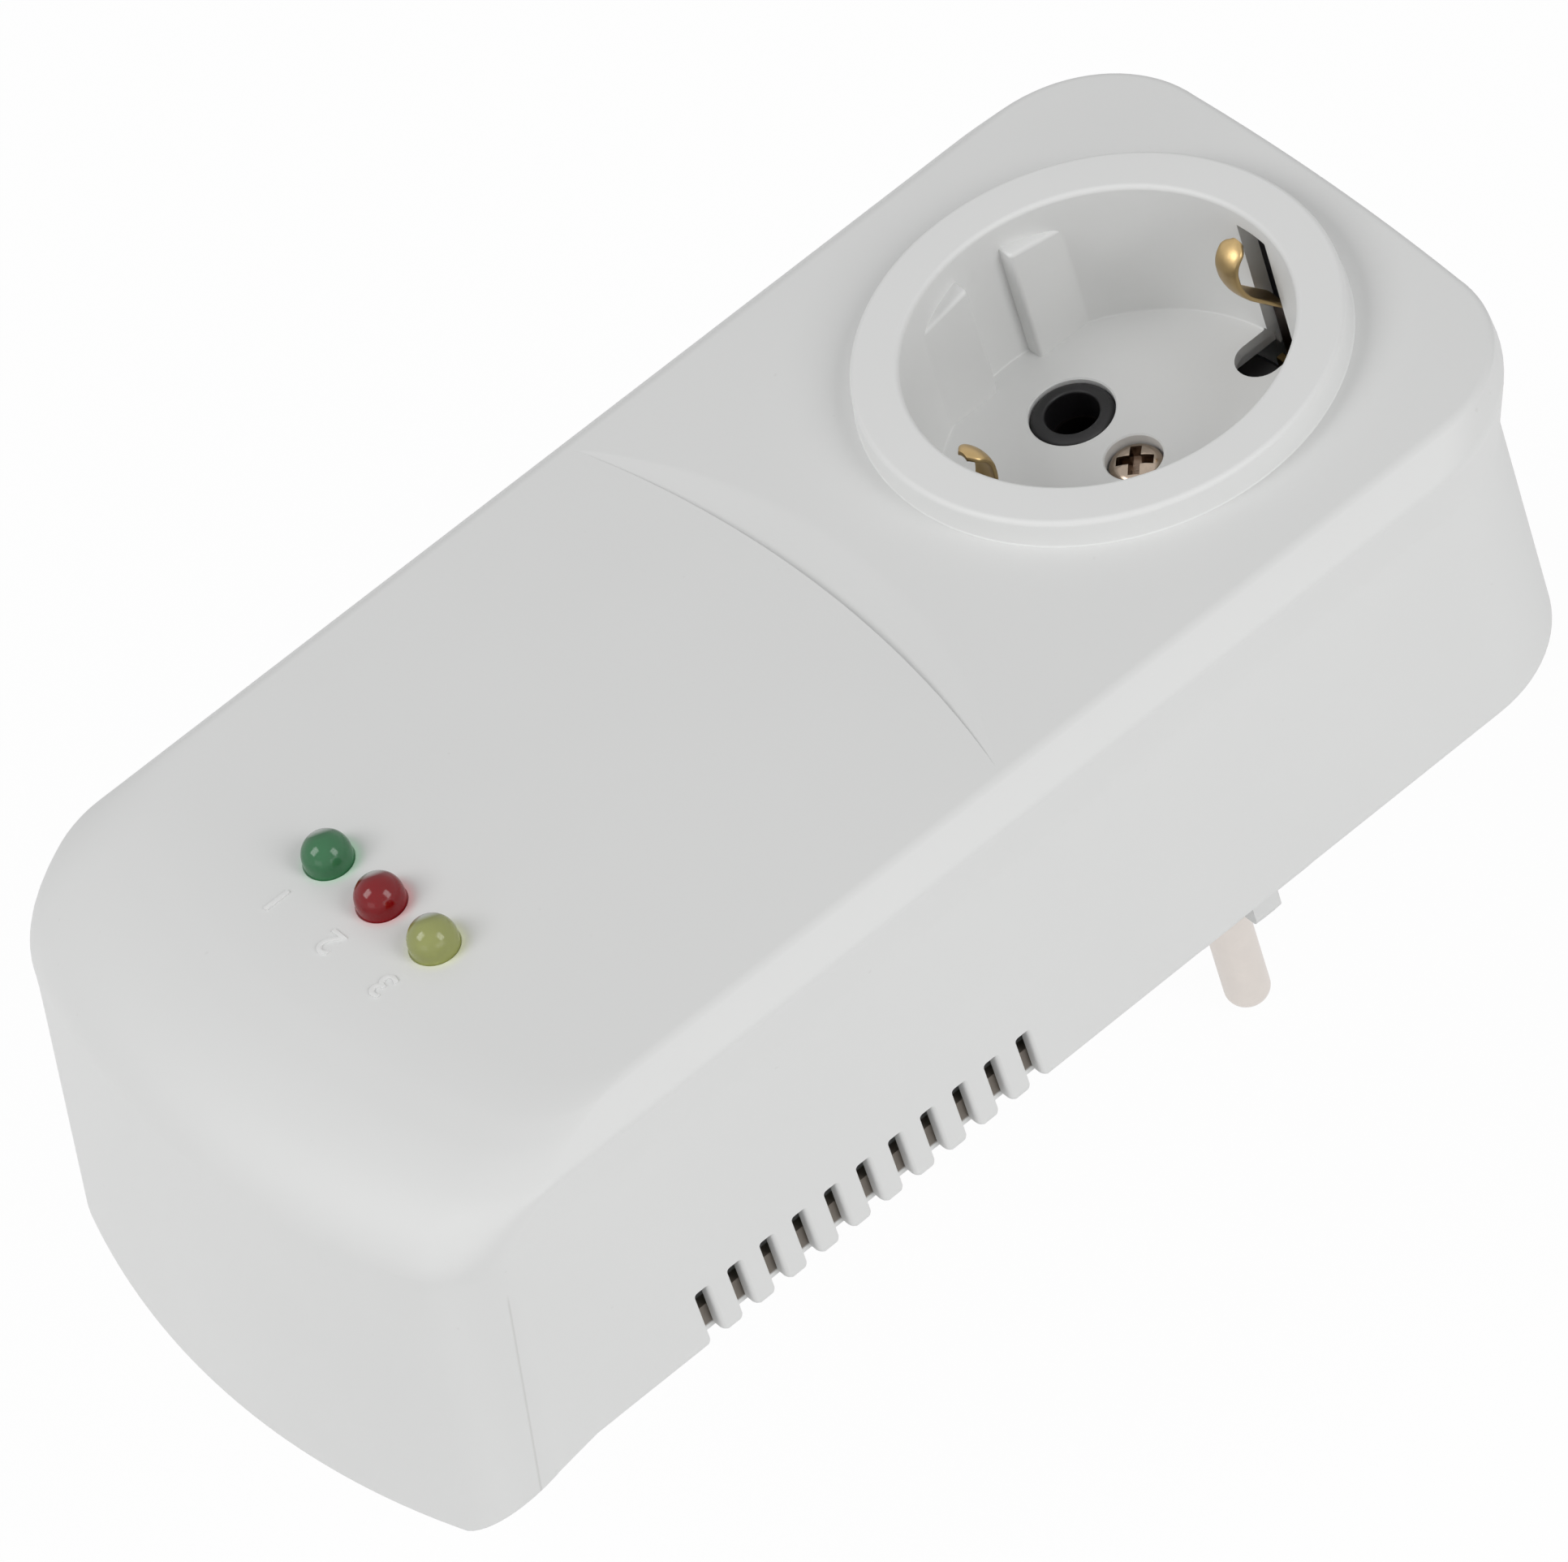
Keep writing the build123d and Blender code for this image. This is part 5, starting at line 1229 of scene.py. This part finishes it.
class PROTECTOR_OT_inside(bpy.types.Operator):
    """Give the pieces that stay as CAD solids their finishes"""

    bl_idname = "protector.inside"
    bl_label = "Inner Pieces"

    def execute(self, context):
        straps = ("plug_earth_contact", "earth_strap", "neutral_strap", "live_out_strap", "live_in_strap")
        bands = ((-1.6, (0.30, 0.02, 0.01)), (-0.6, (0.02, 0.01, 0.01)), (0.5, (0.35, 0.14, 0.01)))
        finishes = (
            (moulded_plastic("holder_plastic", (0.30, 0.30, 0.29), 0.5), ["pin_holder"]),
            # painted shade: the contact sleeves are near black, so that the contact holes look dark all the
            # way down
            (metal("sleeve_bronze", (0.012, 0.010, 0.009), 0.7, 0.2), ["contact_sleeves"]),
            (
                metal("strap_brass", (0.62, 0.43, 0.18), 0.28, 0.10, (1.0, 5.0, 1.0)),
                [*straps, "contact_spring", "fixed_contacts"],
            ),
            (
                metal("zinc_steel", (0.60, 0.60, 0.58), 0.34, 0.10),
                ["case_screws", "board_screws", "lamp_leads", "fuse_caps"],
            ),
            (metal("soft_iron", (0.42, 0.42, 0.43), 0.42, 0.14), ["coil_core", "relay_yoke", "armature"]),
            (board_finish("board_varnish", (0.008, 0.075, 0.028)), ["circuit_board"]),
            (
                moulded_plastic("relay_plastic", (0.010, 0.035, 0.17), 0.24, 0.002),
                ["relay_base", "relay_cover"],
            ),
            (moulded_plastic("bobbin_plastic", (0.62, 0.58, 0.48), 0.4), ["coil_bobbin"]),
            (wound_wire("enamelled_wire", (0.55, 0.20, 0.08)), ["coil_winding"]),
            (moulded_plastic("film_plastic", (0.46, 0.26, 0.02), 0.22, 0.002), ["film_capacitor"]),
            (moulded_plastic("sleeve_plastic", (0.008, 0.010, 0.030), 0.25, 0.002), ["smoothing_capacitor"]),
            (moulded_plastic("varistor_coat", (0.02, 0.07, 0.22), 0.3, 0.010), ["varistor"]),
            (clear_glass("fuse_glass"), ["fuse_tube"]),
            (
                moulded_plastic("chip_plastic", (0.014, 0.014, 0.015), 0.5, 0.008),
                ["control_chip", "diodes", "transistor"],
            ),
            (moulded_plastic("trimmer_plastic", (0.015, 0.06, 0.20), 0.35), ["trimmers"]),
            (moulded_plastic("rotor_plastic", (0.60, 0.60, 0.56), 0.4), ["trimmer_rotors"]),
            (banded_coat("resistor_coat", (0.45, 0.34, 0.18), bands), ["resistors"]),
        )
        for material, nodes in finishes:
            for node in nodes:
                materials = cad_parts[node].data.materials
                materials.clear()
                materials.append(material)
        return {"FINISHED"}


# Stage

def lamp_panel(name, place, size, power):
    """A soft rectangular light that faces the middle of the object."""
    clear_selection()
    bpy.ops.object.light_add(type="AREA", location=place)
    light = bpy.context.object
    light.name = name
    light.data.shape = "RECTANGLE"
    light.data.size, light.data.size_y = size
    light.data.energy = power
    direction = Vector(OBJECT_MIDDLE) - Vector(place)
    light.rotation_euler = direction.to_track_quat("-Z", "Y").to_euler()


def white_to_eye(sheet, lit, output, glow, share):
    """Mixes a lit colour with plain white for the rays that reach the eye straight, by mirror or by glass.

    output is the type of the closing node, glow that of the white one.
    """
    path = sheet.node("ShaderNodeLightPath", {}, {}, "Is Camera Ray")
    seen = path
    for ray in ("Is Glossy Ray", "Is Transmission Ray"):
        seen = seen.math("MAXIMUM", seen, Wire(sheet, path.socket.node.outputs[ray]))
    white = sheet.node(glow, {}, {"Color": (1.0, 1.0, 1.0, 1.0), "Strength": 1.0})
    mix = sheet.node("ShaderNodeMixShader", {}, {0: seen * share, 1: lit, 2: white})
    sheet.node(output, {}, {"Surface": mix})


class PROTECTOR_OT_stage(bpy.types.Operator):
    """Set the pale floor, the soft lights, the world and the camera"""

    bl_idname = "protector.stage"
    bl_label = "Stage"

    def execute(self, context):
        scene = context.scene
        s = scene.protector_stage
        clear_selection()
        bpy.ops.mesh.primitive_plane_add(size=6.0, location=(0.0, 0.0, 0.0))
        floor = bpy.context.object
        floor.name = "floor"
        floor.data.transform(Matrix.Translation((0.0, 0.0, CAD_BOX[0].z - 0.0002)))
        paper = Sheet(bpy.data.materials.new("floor_paper"))
        matt = paper.node("ShaderNodeBsdfDiffuse", {}, {"Color": (0.95, 0.95, 0.95, 1.0)})
        white_to_eye(paper, matt, "ShaderNodeOutputMaterial", "ShaderNodeEmission", 0.965)
        floor.data.materials.append(paper.owner)

        room = Sheet(bpy.data.worlds.new("soft_room"))
        soft = room.node("ShaderNodeBackground", {}, {"Color": (1.0, 1.0, 1.0, 1.0), "Strength": 0.35})
        white_to_eye(room, soft, "ShaderNodeOutputWorld", "ShaderNodeBackground", 1.0)
        scene.world = room.owner

        lamp_panel("front_light", (0.30, -0.95, 0.76), (0.5, 0.7), 4.85)
        lamp_panel("left_light", (-0.86, 0.27, 0.89), (0.5, 0.7), 5.45)
        lamp_panel("low_left_light", (-1.15, -0.35, 0.22), (0.6, 0.4), 0.6)
        lamp_panel("low_front_light", (-0.1, -1.2, 0.25), (0.8, 0.4), 1.15)

        scene.view_settings.view_transform = "Standard"
        clear_selection()
        bpy.ops.object.camera_add()
        camera = bpy.context.object
        camera.name = "camera"
        camera.data.lens = s.lens
        camera.data.sensor_width = 36.0
        camera.data.sensor_fit = "HORIZONTAL"
        camera.data.clip_start = 0.05
        camera.data.clip_end = 20.0
        across = math.cos(s.elevation)
        back = Vector((math.sin(s.azimuth) * across, -math.cos(s.azimuth) * across, math.sin(s.elevation)))
        turn = (-back).to_track_quat("-Z", "Y").to_matrix().to_4x4()
        spin = Matrix.Rotation(-s.roll, 4, "Z")
        camera.matrix_world = Matrix.Translation(Vector(s.aim) + back * s.distance) @ turn @ spin
        scene.camera = camera
        return {"FINISHED"}


class PROTECTOR_PT_panel(bpy.types.Panel):
    """The sidebar's list of pieces"""

    bl_idname = "PROTECTOR_PT_panel"
    bl_label = "Voltage Protector"
    bl_space_type = "VIEW_3D"
    bl_region_type = "UI"
    bl_category = "Protector"

    def draw(self, context):
        for operator in OPERATORS:
            self.layout.operator(operator.bl_idname)
        for group_name in GROUPS:
            group = getattr(context.scene, group_name)
            box = self.layout.box()
            for key in group.bl_rna.properties.keys():
                if key not in ("rna_type", "name"):
                    box.prop(group, key)


OPERATORS = (
    PROTECTOR_OT_case,
    PROTECTOR_OT_socket,
    PROTECTOR_OT_contacts,
    PROTECTOR_OT_clips,
    PROTECTOR_OT_screw,
    PROTECTOR_OT_lamps,
    PROTECTOR_OT_marks,
    PROTECTOR_OT_base,
    PROTECTOR_OT_plug,
    PROTECTOR_OT_inside,
    PROTECTOR_OT_stage,
)
GROUPS = {
    "protector_case": CaseSizes,
    "protector_socket": SocketSizes,
    "protector_lamps": LampSizes,
    "protector_colours": FinishColours,
    "protector_stage": StageSettings,
}


def register():
    """Registers the groups, the operators and the panel."""
    for cls in (*GROUPS.values(), *OPERATORS, PROTECTOR_PT_panel):
        bpy.utils.register_class(cls)
    for group_name, group in GROUPS.items():
        setattr(bpy.types.Scene, group_name, bpy.props.PointerProperty(type=group))


def unregister():
    """Takes out what register put in."""
    for group_name in GROUPS:
        delattr(bpy.types.Scene, group_name)
    for cls in (PROTECTOR_PT_panel, *reversed(OPERATORS), *reversed(list(GROUPS.values()))):
        bpy.utils.unregister_class(cls)


def main():
    """Registers the add-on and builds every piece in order."""
    register()
    for operator in OPERATORS:
        group, call = operator.bl_idname.split(".")
        getattr(getattr(bpy.ops, group), call)()


if __name__ == "__main__":
    main()
